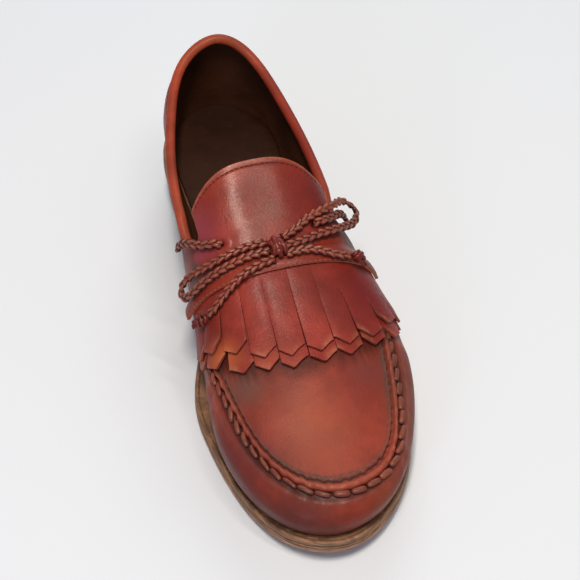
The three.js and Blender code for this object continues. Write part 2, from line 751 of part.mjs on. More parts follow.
// A round lace along a route.
function makeLace(name, route) {
  const points = route.map(({ along, turn, lift }) => overInstep(along, turn, lift));
  const path = new THREE.CatmullRomCurve3(points);
  const section = new THREE.Shape();
  for (let i = 0; i < LACE_SIDES; i++) {
    const angle = 2 * Math.PI * i / LACE_SIDES;
    const x = Math.cos(angle) * LACE_DIAMETER / 2;
    const y = Math.sin(angle) * LACE_DIAMETER / 2;
    if (i === 0) section.moveTo(x, y);
    else section.lineTo(x, y);
  }
  const steps = Math.max(3, Math.round(path.getLength() / LACE_STEP));
  const geometry = new THREE.ExtrudeGeometry(section, { steps, extrudePath: path, bevelEnabled: false });
  const mesh = new THREE.Mesh(geometry, new THREE.MeshStandardMaterial(LACE_LEATHER));
  mesh.name = name;
  return mesh;
}

// A knot as a ball drawn out along its heading.
function makeKnot(name, place, diameter, length, heading) {
  const geometry = new THREE.SphereGeometry(diameter / 2, 12, 8);
  geometry.scale(length / diameter, 1, 1);
  geometry.rotateZ(heading);
  geometry.translate(...overInstep(place.along, place.turn, place.lift));
  const mesh = new THREE.Mesh(geometry, new THREE.MeshStandardMaterial(LACE_LEATHER));
  mesh.name = name;
  return mesh;
}

const shoe = new THREE.Group();
shoe.add(...makeSole(), makeInsole(), makeUpper(), makeTongue());
shoe.add(makeFringe("kiltie_under", LOWER_TIPS, FRINGE_LIFT));
shoe.add(makeFringe("kiltie_top", UPPER_TIPS, FRINGE_LIFT + FRINGE_THICKNESS + LAYER_GAP));
shoe.add(makeLace("lace_bar_medial", LACE_BAR_MEDIAL), makeLace("lace_bar_lateral", LACE_BAR_LATERAL));

// The origin is under the middle of the shoe's box, without the bow.
const box = new THREE.Box3().setFromObject(shoe);

shoe.add(makeKnot("lace_knot", BOW_KNOT, KNOT_DIAMETER, KNOT_LENGTH, Math.PI / 2));
shoe.add(makeLace("lace_loop_medial", LACE_LOOP_MEDIAL), makeLace("lace_loop_lateral", LACE_LOOP_LATERAL));
shoe.add(makeLace("lace_end_medial", LACE_END_MEDIAL), makeLace("lace_end_lateral", LACE_END_LATERAL));
shoe.add(makeKnot("end_knot_medial", END_KNOT_MEDIAL, END_KNOT_DIAMETER, END_KNOT_LENGTH, 0.4));
shoe.add(makeKnot("end_knot_lateral", END_KNOT_LATERAL, END_KNOT_DIAMETER, END_KNOT_LENGTH, -0.6));

shoe.position.set(-(box.min.x + box.max.x) / 2, -(box.min.y + box.max.y) / 2, -box.min.z);
const group = new THREE.Group();
group.add(shoe);

export default group;
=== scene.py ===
"""Kiltie loafer, the wearer's left shoe. Sizes in the tables are millimetres or shares of the named sizes."""
import math

import bmesh
import bpy
import numpy as np
from mathutils import Matrix, Vector


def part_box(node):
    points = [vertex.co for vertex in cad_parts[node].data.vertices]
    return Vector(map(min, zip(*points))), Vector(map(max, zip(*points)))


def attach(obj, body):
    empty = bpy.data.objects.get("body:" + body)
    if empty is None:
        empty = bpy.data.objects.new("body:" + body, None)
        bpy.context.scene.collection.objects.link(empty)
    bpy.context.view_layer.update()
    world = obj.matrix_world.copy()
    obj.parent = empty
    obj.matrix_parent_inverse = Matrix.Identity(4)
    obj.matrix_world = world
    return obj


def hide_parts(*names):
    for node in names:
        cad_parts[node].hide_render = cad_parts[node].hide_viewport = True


bl_info = {
    "name": "Kiltie loafer",
    "version": (1, 0, 0),
    "blender": (4, 5, 0),
    "location": "View3D > Sidebar > Loafer",
    "description": "Builds a leather loafer with a cut fringe and a braided bow",
    "category": "Add Mesh",
}

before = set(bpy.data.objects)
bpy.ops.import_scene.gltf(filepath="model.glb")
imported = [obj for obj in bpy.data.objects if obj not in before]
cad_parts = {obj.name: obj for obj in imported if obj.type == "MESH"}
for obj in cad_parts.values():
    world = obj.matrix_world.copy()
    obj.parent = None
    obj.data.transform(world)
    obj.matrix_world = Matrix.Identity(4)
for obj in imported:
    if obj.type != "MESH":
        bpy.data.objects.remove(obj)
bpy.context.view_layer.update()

# The shoe's own sizes, as the solids have them.
SOLE_LENGTH = 295
BALL_WIDTH = 108
HEEL_HEIGHT = 25
TOE_SPRING = 8
OUTSOLE_THICKNESS = 5
WELT_THICKNESS = 3.2
TOP_LIFT_THICKNESS = 6
INSOLE_THICKNESS = 3
QUARTER_HEIGHT = 60
INSTEP_HEIGHT = 80
UPPER_WALL = 1.8
COLLAR_ROLL_RADIUS = 2.7
TONGUE_THICKNESS = 1.8
FRINGE_THICKNESS = 1.4
FRINGE_POINT = 4.6
FRINGE_LIFT = 0.35
LAYER_LIFT = 2.2
FRINGE_ROOT = 0.551
CURL = 1.6
CLEARANCE = 0.3
SEAT_END = 0.1
BALL_START = 0.61
SPRING_START = 0.76
HEEL_BREAST = 0.27
BREAST_CURVE = 0.003
HEEL_TAPER = 1.6
VAMP_FROM = 3.6
VAMP_TO = 4.25
ROLL_END = 3.9
TOE_FROM = 6.3
TOE_TO = 7.4

# Stations round the shoe from the heel back: lateral side, toe tip, medial side.
STATION_COLUMNS = ("sole_along", "sole_side", "foot_along", "foot_side", "wide_along", "wide_side", "wide_rise",
                   "seam_along", "seam_side", "rim_along", "rim_side", "rim_rise")
STATIONS = (
    (0.0, 0.02, 0.022, 0.02, 0.008, 0.02, 0.37, 0.012, 0.045, 0.034, 0.068, 1.0),
    (0.041, 0.24, 0.058, 0.2, 0.044, 0.232, 0.33, 0.047, 0.232, 0.071, 0.23, 0.87),
    (0.143, 0.335, 0.146, 0.29, 0.143, 0.33, 0.32, 0.147, 0.325, 0.16, 0.315, 0.73),
    (0.287, 0.335, 0.287, 0.285, 0.29, 0.345, 0.36, 0.29, 0.362, 0.29, 0.37, 0.74),
    (0.441, 0.375, 0.441, 0.325, 0.44, 0.4, 0.42, 0.441, 0.393, 0.437, 0.358, 0.88),
    (0.595, 0.479, 0.595, 0.435, 0.592, 0.488, 0.37, 0.6, 0.42, 0.474, 0.25, 1.0),
    (0.715, 0.512, 0.715, 0.465, 0.714, 0.525, 0.33, 0.71, 0.4, 0.494, 0.15, 1.06),
    (0.844, 0.426, 0.835, 0.385, 0.842, 0.43, 0.28, 0.817, 0.355, 0.502, 0.085, 1.08),
    (0.953, 0.234, 0.93, 0.205, 0.95, 0.243, 0.22, 0.909, 0.243, 0.505, 0.03, 1.08),
    (1.0, -0.014, 0.972, -0.014, 0.992, -0.017, 0.17, 0.944, 0.018, 0.506, -0.02, 1.08),
    (0.962, -0.252, 0.938, -0.22, 0.956, -0.255, 0.2, 0.912, -0.175, 0.505, -0.07, 1.08),
    (0.861, -0.4, 0.85, -0.36, 0.86, -0.405, 0.28, 0.84, -0.298, 0.501, -0.125, 1.06),
    (0.73, -0.472, 0.73, -0.415, 0.738, -0.452, 0.33, 0.742, -0.355, 0.492, -0.19, 1.03),
    (0.602, -0.457, 0.604, -0.365, 0.606, -0.412, 0.37, 0.62, -0.388, 0.472, -0.28, 0.96),
    (0.446, -0.305, 0.448, -0.262, 0.446, -0.383, 0.5, 0.446, -0.38, 0.434, -0.358, 0.88),
    (0.286, -0.282, 0.286, -0.24, 0.286, -0.318, 0.48, 0.286, -0.338, 0.286, -0.35, 0.75),
    (0.144, -0.303, 0.147, -0.258, 0.144, -0.288, 0.34, 0.147, -0.28, 0.152, -0.258, 0.73),
    (0.042, -0.21, 0.06, -0.175, 0.046, -0.205, 0.33, 0.047, -0.185, 0.06, -0.13, 0.87),
)
AROUND = len(STATIONS)
TOE_STATION = AROUND / 2

# The instep's top line: along, rise, fullness of the section.
INSTEP_LINE = (
    (0.35, 0.985, 3.2),
    (0.41, 0.925, 3.1),
    (0.471, 0.85, 2.9),
    (0.573, 0.745, 2.5),
    (0.665, 0.622, 2.3),
    (0.767, 0.512, 2.2),
    (0.868, 0.405, 2.2),
    (0.95, 0.3, 2.2),
)

# The tongue from its raw edge to its stitched front: centre, sides, reach round the instep, lift.
TONGUE_ROWS = (
    (0.379, 0.412, 0.5, 0.4),
    (0.4, 0.428, 0.49, 0.4),
    (0.425, 0.446, 0.48, 0.4),
    (0.45, 0.464, 0.5, 0.4),
    (0.474, 0.482, 0.62, 0.4),
    (0.498, 0.5, 0.74, 0.4),
    (0.525, 0.522, 0.8, 0.9),
    (0.546, 0.54, 0.82, 4),
    (0.563, 0.555, 0.83, 4),
)
TONGUE_ARCH = 1.7

# The fringe's tips, medial to lateral: turn round the instep, along, and how far the tip lifts.
UPPER_TIPS = (
    (-0.79, 0.642, 1.0), (-0.59, 0.654, 1.5), (-0.395, 0.676, 0.9), (-0.196, 0.701, 1.1), (-0.043, 0.71, 0.8),
    (0.087, 0.713, 1.1), (0.234, 0.708, 0.8), (0.39, 0.698, 1.2), (0.6, 0.669, 0.9), (0.8, 0.651, 1.3),
)
LOWER_TIPS = (
    (-0.83, 0.654, 1.2), (-0.6, 0.68, 1.5), (-0.38, 0.711, 0.9), (-0.2, 0.722, 1.2), (-0.043, 0.729, 0.8),
    (0.095, 0.73, 1.0), (0.25, 0.724, 0.7), (0.42, 0.71, 1.1), (0.63, 0.69, 0.8), (0.86, 0.658, 1.1),
)
ROOT_SPREAD = 0.86
FRINGE_SIDE = 0.09

# The lace's routes over the instep: along, turn, lift.
LACE_BAR_MEDIAL = ((0.437, -0.79, 4.7), (0.445, -0.67, 4.8), (0.464, -0.53, 4.9), (0.482, -0.4, 4.8),
                   (0.49, -0.31, 4.6))
LACE_BAR_LATERAL = ((0.453, 0.74, 4.7), (0.457, 0.61, 5), (0.468, 0.49, 4.9), (0.484, 0.36, 4.8),
                    (0.491, 0.27, 4.6))
# Where each bar dives into its hole in the tongue.
BAR_END_MEDIAL = (0.493, -0.284, 3.0)
BAR_END_LATERAL = (0.4935, 0.25, 3.0)
LACE_LOOP_MEDIAL = (
    (0.516, -0.013, 5.8), (0.515, -0.09, 5.2), (0.515, -0.17, 5), (0.516, -0.27, 5.1), (0.5165, -0.41, 5.3),
    (0.5115, -0.56, 5.9), (0.509, -0.66, 7.2), (0.5185, -0.722, 8.8), (0.534, -0.7, 9.3), (0.5425, -0.6, 8.8),
    (0.541, -0.49, 8.3), (0.538, -0.36, 7.8), (0.536, -0.24, 7.5), (0.533, -0.14, 7), (0.532, -0.016, 6.8),
)
LACE_END_MEDIAL = ((0.549, -0.0085, 8.4), (0.555, -0.12, 8.4), (0.564, -0.23, 8.2), (0.572, -0.31, 7.4),
                   (0.579, -0.38, 6.5), (0.586, -0.45, 6.2), (0.591, -0.53, 6.2))
LACE_LOOP_LATERAL = (
    (0.513, 0.034, 5.6), (0.499, 0.12, 5), (0.486, 0.19, 5), (0.472, 0.31, 5.8), (0.452, 0.48, 6.8),
    (0.439, 0.62, 9), (0.454, 0.66, 11.5), (0.477, 0.61, 9), (0.492, 0.5, 7), (0.507, 0.34, 6),
    (0.516, 0.22, 5.4), (0.523, 0.14, 5.6), (0.529, 0.034, 6.3),
)
LACE_END_LATERAL = ((0.545, 0.031, 8.2), (0.543, 0.14, 8.2), (0.548, 0.22, 8.2), (0.555, 0.3, 8.4),
                    (0.557, 0.39, 8.8))
BOW_KNOT = (0.53, 0.005, 7.9)
END_KNOT_MEDIAL = (0.593, -0.592, 8)
END_KNOT_LATERAL = (0.558, 0.447, 10.2)


def ease(low, high, at):
    """A share that eases from 0 to 1 between two values."""
    t = np.clip((np.asarray(at, float) - low) / (high - low), 0, 1)
    return t * t * (3 - 2 * t)


def hump(at, middle, width, power=2):
    """1 at the middle, falling away softly within about a width."""
    return np.exp(-((at - middle) / width) ** power)


def blend(a, b, share):
    return a + (b - a) * share


def cubic(low, low_slope, high, high_slope, t):
    rest = 1 - t
    return rest * rest * ((1 + 2 * t) * low + t * low_slope) + t * t * ((1 + 2 * rest) * high - rest * high_slope)


def closed_curve(values):
    """A smooth closed line through values at 0, 1, 2 and so on."""
    values = np.asarray(values, float)
    slopes = np.zeros_like(values)
    count = len(values)
    for _ in range(40):
        for i in range(count):
            slopes[i] = (3 * (values[(i + 1) % count] - values[i - 1]) - slopes[i - 1] - slopes[(i + 1) % count]) / 4

    def at_place(at):
        wrapped = np.mod(at, count)
        i = np.floor(wrapped).astype(int) % count
        after = (i + 1) % count
        return cubic(values[i], slopes[i], values[after], slopes[after], wrapped - np.floor(wrapped))
    return at_place


def open_curve(knots, values):
    """A smooth open line through values at knots, straight beyond its ends."""
    knots = np.asarray(knots, float)
    values = np.asarray(values, float)
    slopes = np.zeros_like(values)
    last = len(knots) - 1
    for _ in range(60):
        for i in range(last + 1):
            before = 1 / (knots[i] - knots[i - 1]) if i > 0 else 0
            after = 1 / (knots[i + 1] - knots[i]) if i < last else 0
            rise = 3 * (values[i] - values[i - 1]) * before ** 2 if i > 0 else 0
            rise = rise + (3 * (values[i + 1] - values[i]) * after ** 2 if i < last else 0)
            pull = (slopes[i - 1] * before if i > 0 else 0) + (slopes[i + 1] * after if i < last else 0)
            slopes[i] = (rise - pull) / (2 * (before + after))

    def at_place(at):
        at = np.asarray(at, float)
        i = np.clip(np.searchsorted(knots, at, side="right") - 1, 0, last - 1)
        span = knots[i + 1] - knots[i]
        t = (at - knots[i]) / span
        inside = cubic(values[i], slopes[i] * span, values[i + 1], slopes[i + 1] * span, np.clip(t, 0, 1))
        under = np.minimum(at - knots[0], 0) * slopes[0]
        over = np.maximum(at - knots[last], 0) * slopes[last]
        return inside + under + over
    return at_place


STATION = {name: closed_curve([row[i] for row in STATIONS]) for i, name in enumerate(STATION_COLUMNS)}
instep_rise = open_curve([row[0] for row in INSTEP_LINE], [row[1] for row in INSTEP_LINE])
instep_fullness = open_curve([row[0] for row in INSTEP_LINE], [row[2] for row in INSTEP_LINE])


def lengthwise(along):
    return (0.5 - along) * SOLE_LENGTH


def along_of(y):
    return 0.5 - y / SOLE_LENGTH


def points_of(x, y, z):
    return np.stack(np.broadcast_arrays(x, y, z), axis=-1)


def unit(vectors):
    return vectors / np.maximum(np.linalg.norm(vectors, axis=-1, keepdims=True), 1e-9)


def underside(along):
    spring = np.maximum(0, (along - SPRING_START) / (1 - SPRING_START))
    return HEEL_HEIGHT * (1 - ease(SEAT_END, BALL_START, along)) + TOE_SPRING * spring ** 2


def sole_top(along):
    return underside(along) + OUTSOLE_THICKNESS + WELT_THICKNESS + 2 * CLEARANCE


# The widest line of each side against the length, read off the stations once.
SIDE_PLACES = {side: np.linspace(start, TOE_STATION, 3001) for side, start in ((1, 0), (-1, AROUND))}
WIDEST = {side: [STATION[name](places) for name in ("wide_along", "wide_side", "wide_rise")]
          for side, places in SIDE_PLACES.items()}


def widest_at(along, lateral):
    def read(row):
        both = [np.interp(along, WIDEST[side][0], WIDEST[side][row]) for side in (1, -1)]
        return np.where(lateral, both[0], both[1])
    return read(1) * BALL_WIDTH, sole_top(along) + read(2) * QUARTER_HEIGHT


def instep_top(along):
    return sole_top(along) + instep_rise(along) * INSTEP_HEIGHT


def instep_point(along, turn):
    """A point of the instep: turn is -1 at the medial widest line, 0 on top and 1 at the lateral one."""
    along, turn = np.broadcast_arrays(np.asarray(along, float), np.asarray(turn, float))
    edge_x, edge_z = widest_at(along, turn >= 0)
    angle = (1 - np.minimum(1, np.abs(turn))) * math.pi / 2
    x = edge_x * np.maximum(0, np.cos(angle)) ** (2 / instep_fullness(along))
    return points_of(x, lengthwise(along), edge_z + (instep_top(along) - edge_z) * np.sin(angle))


def instep_height(along, x):
    edge_x, edge_z = widest_at(along, x >= 0)
    share = np.minimum(1, np.abs(x / edge_x)) ** instep_fullness(along)
    return edge_z + (instep_top(along) - edge_z) * np.sqrt(1 - share)


def turn_of(along, x):
    edge_x, _ = widest_at(along, x >= 0)
    share = np.minimum(1, np.abs(x / edge_x)) ** (instep_fullness(along) / 2)
    return np.sign(x) * (1 - np.arccos(share) * 2 / math.pi)


def off_instep(along, turn):
    """The direction square to the instep."""
    run = instep_point(along + 0.004, turn) - instep_point(along - 0.004, turn)
    across = instep_point(along, np.minimum(1, turn + 0.06)) - instep_point(along, np.maximum(-1, turn - 0.06))
    return unit(np.cross(run, across))


def over_instep(along, turn, lift):
    along, turn = np.broadcast_arrays(np.asarray(along, float), np.asarray(turn, float))
    return instep_point(along, turn) + off_instep(along, turn) * np.asarray(lift, float)[..., None]


def upper_point(at, v):
    """A point of the upper's outside: v is 0 at the sole, 1 at the widest line, 2 at the seam, 3 at the rim."""
    at, v = np.broadcast_arrays(np.asarray(at, float), np.asarray(v, float))
    wrapped = np.mod(at, AROUND)
    from_heel = np.minimum(wrapped, AROUND - wrapped)
    vamp = ease(VAMP_FROM, VAMP_TO, from_heel)
    toe = ease(TOE_FROM, TOE_TO, from_heel)
    side = {name: STATION[name + "_side"](at) * BALL_WIDTH for name in ("foot", "wide", "seam", "rim")}
    along = {name: STATION[name + "_along"](at) for name in ("foot", "wide", "seam", "rim")}
    foot_z = sole_top(along["foot"])
    wide_z = sole_top(along["wide"]) + STATION["wide_rise"](at) * QUARTER_HEIGHT
    collar_z = sole_top(along["rim"]) + STATION["rim_rise"](at) * QUARTER_HEIGHT
    rim_z = blend(collar_z, instep_height(along["rim"], side["rim"]), vamp)
    seam_z = blend((wide_z + rim_z) / 2, instep_height(along["seam"], side["seam"]), vamp)
    foot = points_of(side["foot"], lengthwise(along["foot"]), foot_z)
    wide = points_of(side["wide"], lengthwise(along["wide"]), wide_z)
    seam = points_of(side["seam"], lengthwise(along["seam"]), seam_z)
    rim = points_of(side["rim"], lengthwise(along["rim"]), rim_z)
    seam_turn = turn_of(along["seam"], side["seam"])

    w = v - 1
    quarter = (wide * ((w - 1) * (w - 2) / 2)[..., None] + seam * (w * (2 - w))[..., None]
               + rim * (w * (w - 1) / 2)[..., None])
    low = np.clip(w, 0, 1)
    instep_wall = instep_point(blend(along["wide"], along["seam"], low), blend(np.sign(side["wide"]), seam_turn, low))
    toe_wall = blend(wide, seam, (low ** 1.7)[..., None])
    toe_wall[..., 2] = blend(wide_z, seam_z, 1 - (1 - low) ** 1.3)
    wall = blend(instep_wall, toe_wall, toe[..., None])
    plug = blend(seam, rim, np.clip(w - 1, 0, 1)[..., None])
    plug[..., 2] = instep_height(along_of(plug[..., 1]), plug[..., 0])
    vamp_point = np.where((w > 1)[..., None], plug, wall)
    upper = blend(quarter, vamp_point, vamp[..., None])
    angle = np.clip(v, 0, 1) * math.pi / 2
    lower = blend(foot, wide, np.sin(angle)[..., None])
    lower[..., 2] = wide_z - (wide_z - foot_z) * np.cos(angle)
    return np.where((v < 1)[..., None], lower, upper)


def off_upper(at, v):
    """The direction square to the upper's outside."""
    step = 0.02
    up = upper_point(at, np.minimum(3, v + step)) - upper_point(at, np.maximum(0, v - step))
    return unit(np.cross(up, upper_point(at + step, v) - upper_point(at - step, v)))


def edge_point(at):
    return np.stack([STATION["sole_side"](at) * BALL_WIDTH, lengthwise(STATION["sole_along"](at))], axis=-1)


def inset_loop(edge, inset):
    run = unit(np.roll(edge, -1, axis=0) - np.roll(edge, 1, axis=0))
    return np.stack([edge[:, 0] + run[:, 1] * inset, edge[:, 1] - run[:, 0] * inset], axis=-1)


# The solids stand with the middle of their box over the origin, so the functions' own x is shifted.
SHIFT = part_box("outsole")[0][0] * 1000 - edge_point(np.arange(56) * AROUND / 56)[:, 0].min()


def srgb(red, green, blue):
    """A colour as it is seen, turned into the shader's linear values."""
    return tuple(c / 3294.6 if c <= 10.3 else ((c / 255 + 0.055) / 1.055) ** 2.4 for c in (red, green, blue)) + (1.0,)


class ShoeSizes(bpy.types.PropertyGroup):
    """The dressed shoe's own sizes and colours."""
    lace_width: bpy.props.FloatProperty(
        name="Lace width", description="Width of the braided lace", default=0.0050, min=0.003, max=0.006,
        unit="LENGTH", precision=4)
    braid_pitch: bpy.props.FloatProperty(
        name="Braid pitch", description="Length in which a strand comes back to its side", default=0.0138,
        min=0.005, max=0.02, unit="LENGTH", precision=4)
    seam_height: bpy.props.FloatProperty(
        name="Seam height", description="How far the rolled seam stands off the vamp", default=0.0019, min=0,
        max=0.003, unit="LENGTH", precision=4)
    lash_length: bpy.props.FloatProperty(
        name="Lash length", description="Length of one lash along the seam", default=0.0078, min=0.003, max=0.01,
        unit="LENGTH", precision=4)
    stitch_length: bpy.props.FloatProperty(
        name="Stitch length", description="Length of one machine stitch", default=0.0022, min=0.001, max=0.004,
        unit="LENGTH", precision=4)
    vamp_color: bpy.props.FloatVectorProperty(
        name="Vamp", description="Leather of the vamp and quarters", subtype="COLOR", size=4,
        default=srgb(140, 55, 40), min=0, max=1)
    tongue_color: bpy.props.FloatVectorProperty(
        name="Tongue", description="Leather of the tongue", subtype="COLOR", size=4,
        default=srgb(138, 46, 32), min=0, max=1)
    fringe_color: bpy.props.FloatVectorProperty(
        name="Fringe", description="Leather of the fringe", subtype="COLOR", size=4,
        default=srgb(140, 48, 38), min=0, max=1)
    collar_color: bpy.props.FloatVectorProperty(
        name="Collar", description="Rolled collar", subtype="COLOR", size=4,
        default=srgb(160, 64, 42), min=0, max=1)
    lace_color: bpy.props.FloatVectorProperty(
        name="Lace", description="Braided lace", subtype="COLOR", size=4,
        default=srgb(112, 36, 28), min=0, max=1)
    lining_color: bpy.props.FloatVectorProperty(
        name="Lining", description="Lining and sock", subtype="COLOR", size=4,
        default=srgb(76, 42, 26), min=0, max=1)
    sole_color: bpy.props.FloatVectorProperty(
        name="Sole", description="Sole and welt edges", subtype="COLOR", size=4,
        default=srgb(190, 138, 100), min=0, max=1)


def sizes():
    return bpy.context.scene.kiltie_loafer


class Finish:
    """A material put together node by node on the object's own coordinates."""

    def __init__(self, name):
        self.material = bpy.data.materials.new(name)
        self.material.use_nodes = True
        self.tree = self.material.node_tree
        self.tree.nodes.clear()
        self.shader = self.node("ShaderNodeBsdfPrincipled")
        self.node("ShaderNodeOutputMaterial", {"Surface": self.shader.outputs["BSDF"]})
        self.place = self.node("ShaderNodeTexCoord").outputs["Object"]

    def node(self, kind, inputs=None, **settings):
        made = self.tree.nodes.new(kind)
        for key, value in settings.items():
            setattr(made, key, value)
        for key, value in (inputs or {}).items():
            self.feed(made.inputs[key], value)
        return made

    def feed(self, socket, value):
        """Links another node's output to a socket, or sets its value."""
        if isinstance(value, bpy.types.NodeSocket):
            self.tree.links.new(value, socket)
        else:
            socket.default_value = value

    def stretched(self, scale):
        return self.node("ShaderNodeMapping", {"Vector": self.place, "Scale": scale}).outputs["Vector"]

    def noise(self, scale, detail=2.0, roughness=0.5, where=None):
        values = {"Vector": where or self.place, "Scale": scale, "Detail": detail, "Roughness": roughness}
        return self.node("ShaderNodeTexNoise", values).outputs["Fac"]

    def cells(self, scale):
        values = {"Vector": self.place, "Scale": scale, "Smoothness": 0.35}
        return self.node("ShaderNodeTexVoronoi", values, feature="SMOOTH_F1").outputs["Distance"]

    def span(self, value, low, high, to_low=0.0, to_high=1.0):
        values = {"Value": value, "From Min": low, "From Max": high, "To Min": to_low, "To Max": to_high}
        return self.node("ShaderNodeMapRange", values, interpolation_type="SMOOTHSTEP").outputs["Result"]

    def reckon(self, operation, first, second=0.0):
        return self.node("ShaderNodeMath", {0: first, 1: second}, operation=operation).outputs["Value"]

    def mix(self, first, second, share):
        """Two colours mixed; the node's colour sockets go by number, since their names repeat."""
        return self.node("ShaderNodeMix", {0: share, 6: first, 7: second}, data_type="RGBA").outputs[2]

    def tag(self, name):
        return self.node("ShaderNodeAttribute", attribute_name=name).outputs["Fac"]

    def spot(self, centre, radius):
        """1 in the middle of a soft patch and 0 at its rim; millimetres."""
        middle = [c / 1000 for c in centre]
        away = self.node("ShaderNodeVectorMath", {0: self.place, 1: middle}, operation="DISTANCE").outputs["Value"]
        return self.span(away, 0.0, radius / 1000, 1.0, 0.0)

    def bump(self, height, distance, below=None):
        values = {"Height": height, "Distance": distance, "Strength": 1.0}
        if below:
            values["Normal"] = below
        return self.node("ShaderNodeBump", values).outputs["Normal"]

    def finish(self, **sockets):
        for name, value in sockets.items():
            self.feed(self.shader.inputs[name.replace("_", " ")], value)
        return self.material


def shade(color, factor):
    return tuple(min(1, c * factor) for c in color[:3]) + (1.0,)


def polished_leather(name, base, spots=(), roughness=0.4, coat=0.25, grain=1.0, gloss=0.22):
    """Smooth oiled leather: cloudy tone, fine grain, soil, rubbed pale patches, painted highlights and painted shade
    where the mesh is tagged.
    """
    finish = Finish(name)
    cloud = finish.span(finish.noise(26, 4, 0.6), 0.34, 0.66)
    tone = finish.mix(shade(base, 0.6), shade(base, 1.15), cloud)
    mottle = finish.span(finish.noise(120, 4, 0.65), 0.4, 0.7, 0, 0.55)
    tone = finish.mix(tone, shade(base, 0.66), mottle)
    for centre, radius, color, strength in spots:
        share = finish.reckon("MULTIPLY", finish.spot(centre, radius), strength)
        tone = finish.mix(tone, color, share)
    # Lighter where the wear_and_highlight tag is set: rubbed edges on some pieces, painted highlights on the crests of
    # the lace and the lashes.
    worn_and_highlit = finish.reckon("MULTIPLY", finish.tag("wear_and_highlight"), finish.span(finish.noise(420, 3), 0.3, 0.7, 0.45, 1.0))
    tone = finish.mix(tone, srgb(186, 118, 88), worn_and_highlit)
    grime = finish.span(finish.noise(700, 4, 0.7), 0.35, 0.62, 0.35, 1.0)
    soiled = finish.reckon("MULTIPLY", finish.tag("soil"), grime)
    tone = finish.mix(tone, srgb(80, 62, 56), soiled)
    # Painted shade: the shadow tag darkens the tone in gullies, holes, gaps and under other parts.
    tone = finish.mix(tone, srgb(38, 16, 14), finish.tag("shadow"))
    hide = finish.bump(finish.noise(170, 3, 0.6), 0.00009 * grain)
    pores = finish.bump(finish.cells(850), 0.00009 * grain, hide)
    fine = finish.bump(finish.noise(1300, 3, 0.65), 0.00007 * grain, pores)
    rough = finish.reckon("ADD", finish.span(finish.noise(60, 3), 0.3, 0.7, roughness - 0.05, roughness + 0.08),
                       finish.reckon("MULTIPLY", soiled, 0.3))
    swell = finish.bump(finish.noise(300, 2), 0.00003 * grain)
    glint = finish.bump(finish.noise(1500, 2, 0.6), 0.000038 * grain, swell)
    return finish.finish(Base_Color=tone, Roughness=rough, Normal=fine, Coat_Normal=glint, Coat_Weight=coat,
                         Coat_Roughness=gloss, Specular_IOR_Level=0.18)


def plain(name, dark, light, roughness, mottle, span, bump):
    """A dull finish of two tones: mottle is its noise and span its range; bump is a noise's scale, detail and depth."""
    finish = Finish(name)
    tone = finish.mix(dark, light, finish.span(finish.noise(*mottle), *span))
    scale, detail, depth = bump
    return finish.finish(Base_Color=tone, Roughness=roughness, Normal=finish.bump(finish.noise(scale, detail), depth))


def cut_leather(name, color):
    """The cut edge of thick leather, pale and fibrous."""
    return plain(name, shade(color, 0.6), shade(color, 1.15), 0.6, (900, 3, 0.7), (0.3, 0.7), (1600, 2, 0.0002))


def thread(name, color):
    return plain(name, shade(color, 0.65), shade(color, 1.1), 0.7, (1400, 2), (0.3, 0.7), (4000, 2, 0.00008))


def rubber(name):
    return plain(name, srgb(24, 22, 21), srgb(52, 48, 45), 0.85, (240, 4), (0.4, 0.7), (1500, 3, 0.0002))


def stacked_edge(name, color, dark, layer=0.0):
    """Sole leather: streaks that run along the edge, with thin lines between its layers."""
    finish = Finish(name)
    streaks = finish.noise(60, 5, 0.65, finish.stretched((1, 1, 14)))
    tone = finish.mix(dark, color, finish.span(streaks, 0.36, 0.66))
    blots = finish.span(finish.noise(190, 4, 0.7), 0.5, 0.72, 0, 0.75)
    tone = finish.mix(tone, shade(dark, 0.8), blots)
    tone = finish.mix(tone, shade(dark, 0.35), finish.tag("shadow"))
    if layer:
        height = finish.node("ShaderNodeSeparateXYZ", {"Vector": finish.place}).outputs["Z"]
        saw = finish.reckon("FRACT", finish.reckon("DIVIDE", height, layer))
        line = finish.span(finish.reckon("ABSOLUTE", finish.reckon("SUBTRACT", saw, 0.5)), 0.0, 0.09, 1.0, 0.0)
        tone = finish.mix(tone, shade(dark, 0.4), finish.reckon("MULTIPLY", line, 0.8))
    normal = finish.bump(finish.noise(520, 4, 0.6, finish.stretched((1, 1, 4))), 0.0005)
    return finish.finish(Base_Color=tone, Roughness=0.55, Normal=normal, Coat_Weight=0.08, Coat_Roughness=0.4)


def look(name):
    """A finish by its name, made the first time that it is asked for."""
    full_name = "dressed " + name
    return bpy.data.materials.get(full_name) or MATERIALS[name](full_name, sizes())


def lining(name, color):
    """Worn lining leather, darker and polished where the foot rubs."""
    finish = Finish(name)
    cloud = finish.span(finish.noise(20, 4, 0.6), 0.3, 0.7)
    tone = finish.mix(shade(color, 0.45), color, cloud)
    tone = finish.mix(tone, shade(color, 1.35), finish.span(finish.noise(240, 4, 0.7), 0.55, 0.8, 0, 0.5))
    normal = finish.bump(finish.cells(900), 0.0001, finish.bump(finish.noise(110, 3), 0.0006))
    return finish.finish(Base_Color=tone, Roughness=0.6, Normal=normal, Coat_Weight=0.03, Coat_Roughness=0.45,
                         Specular_IOR_Level=0.15)


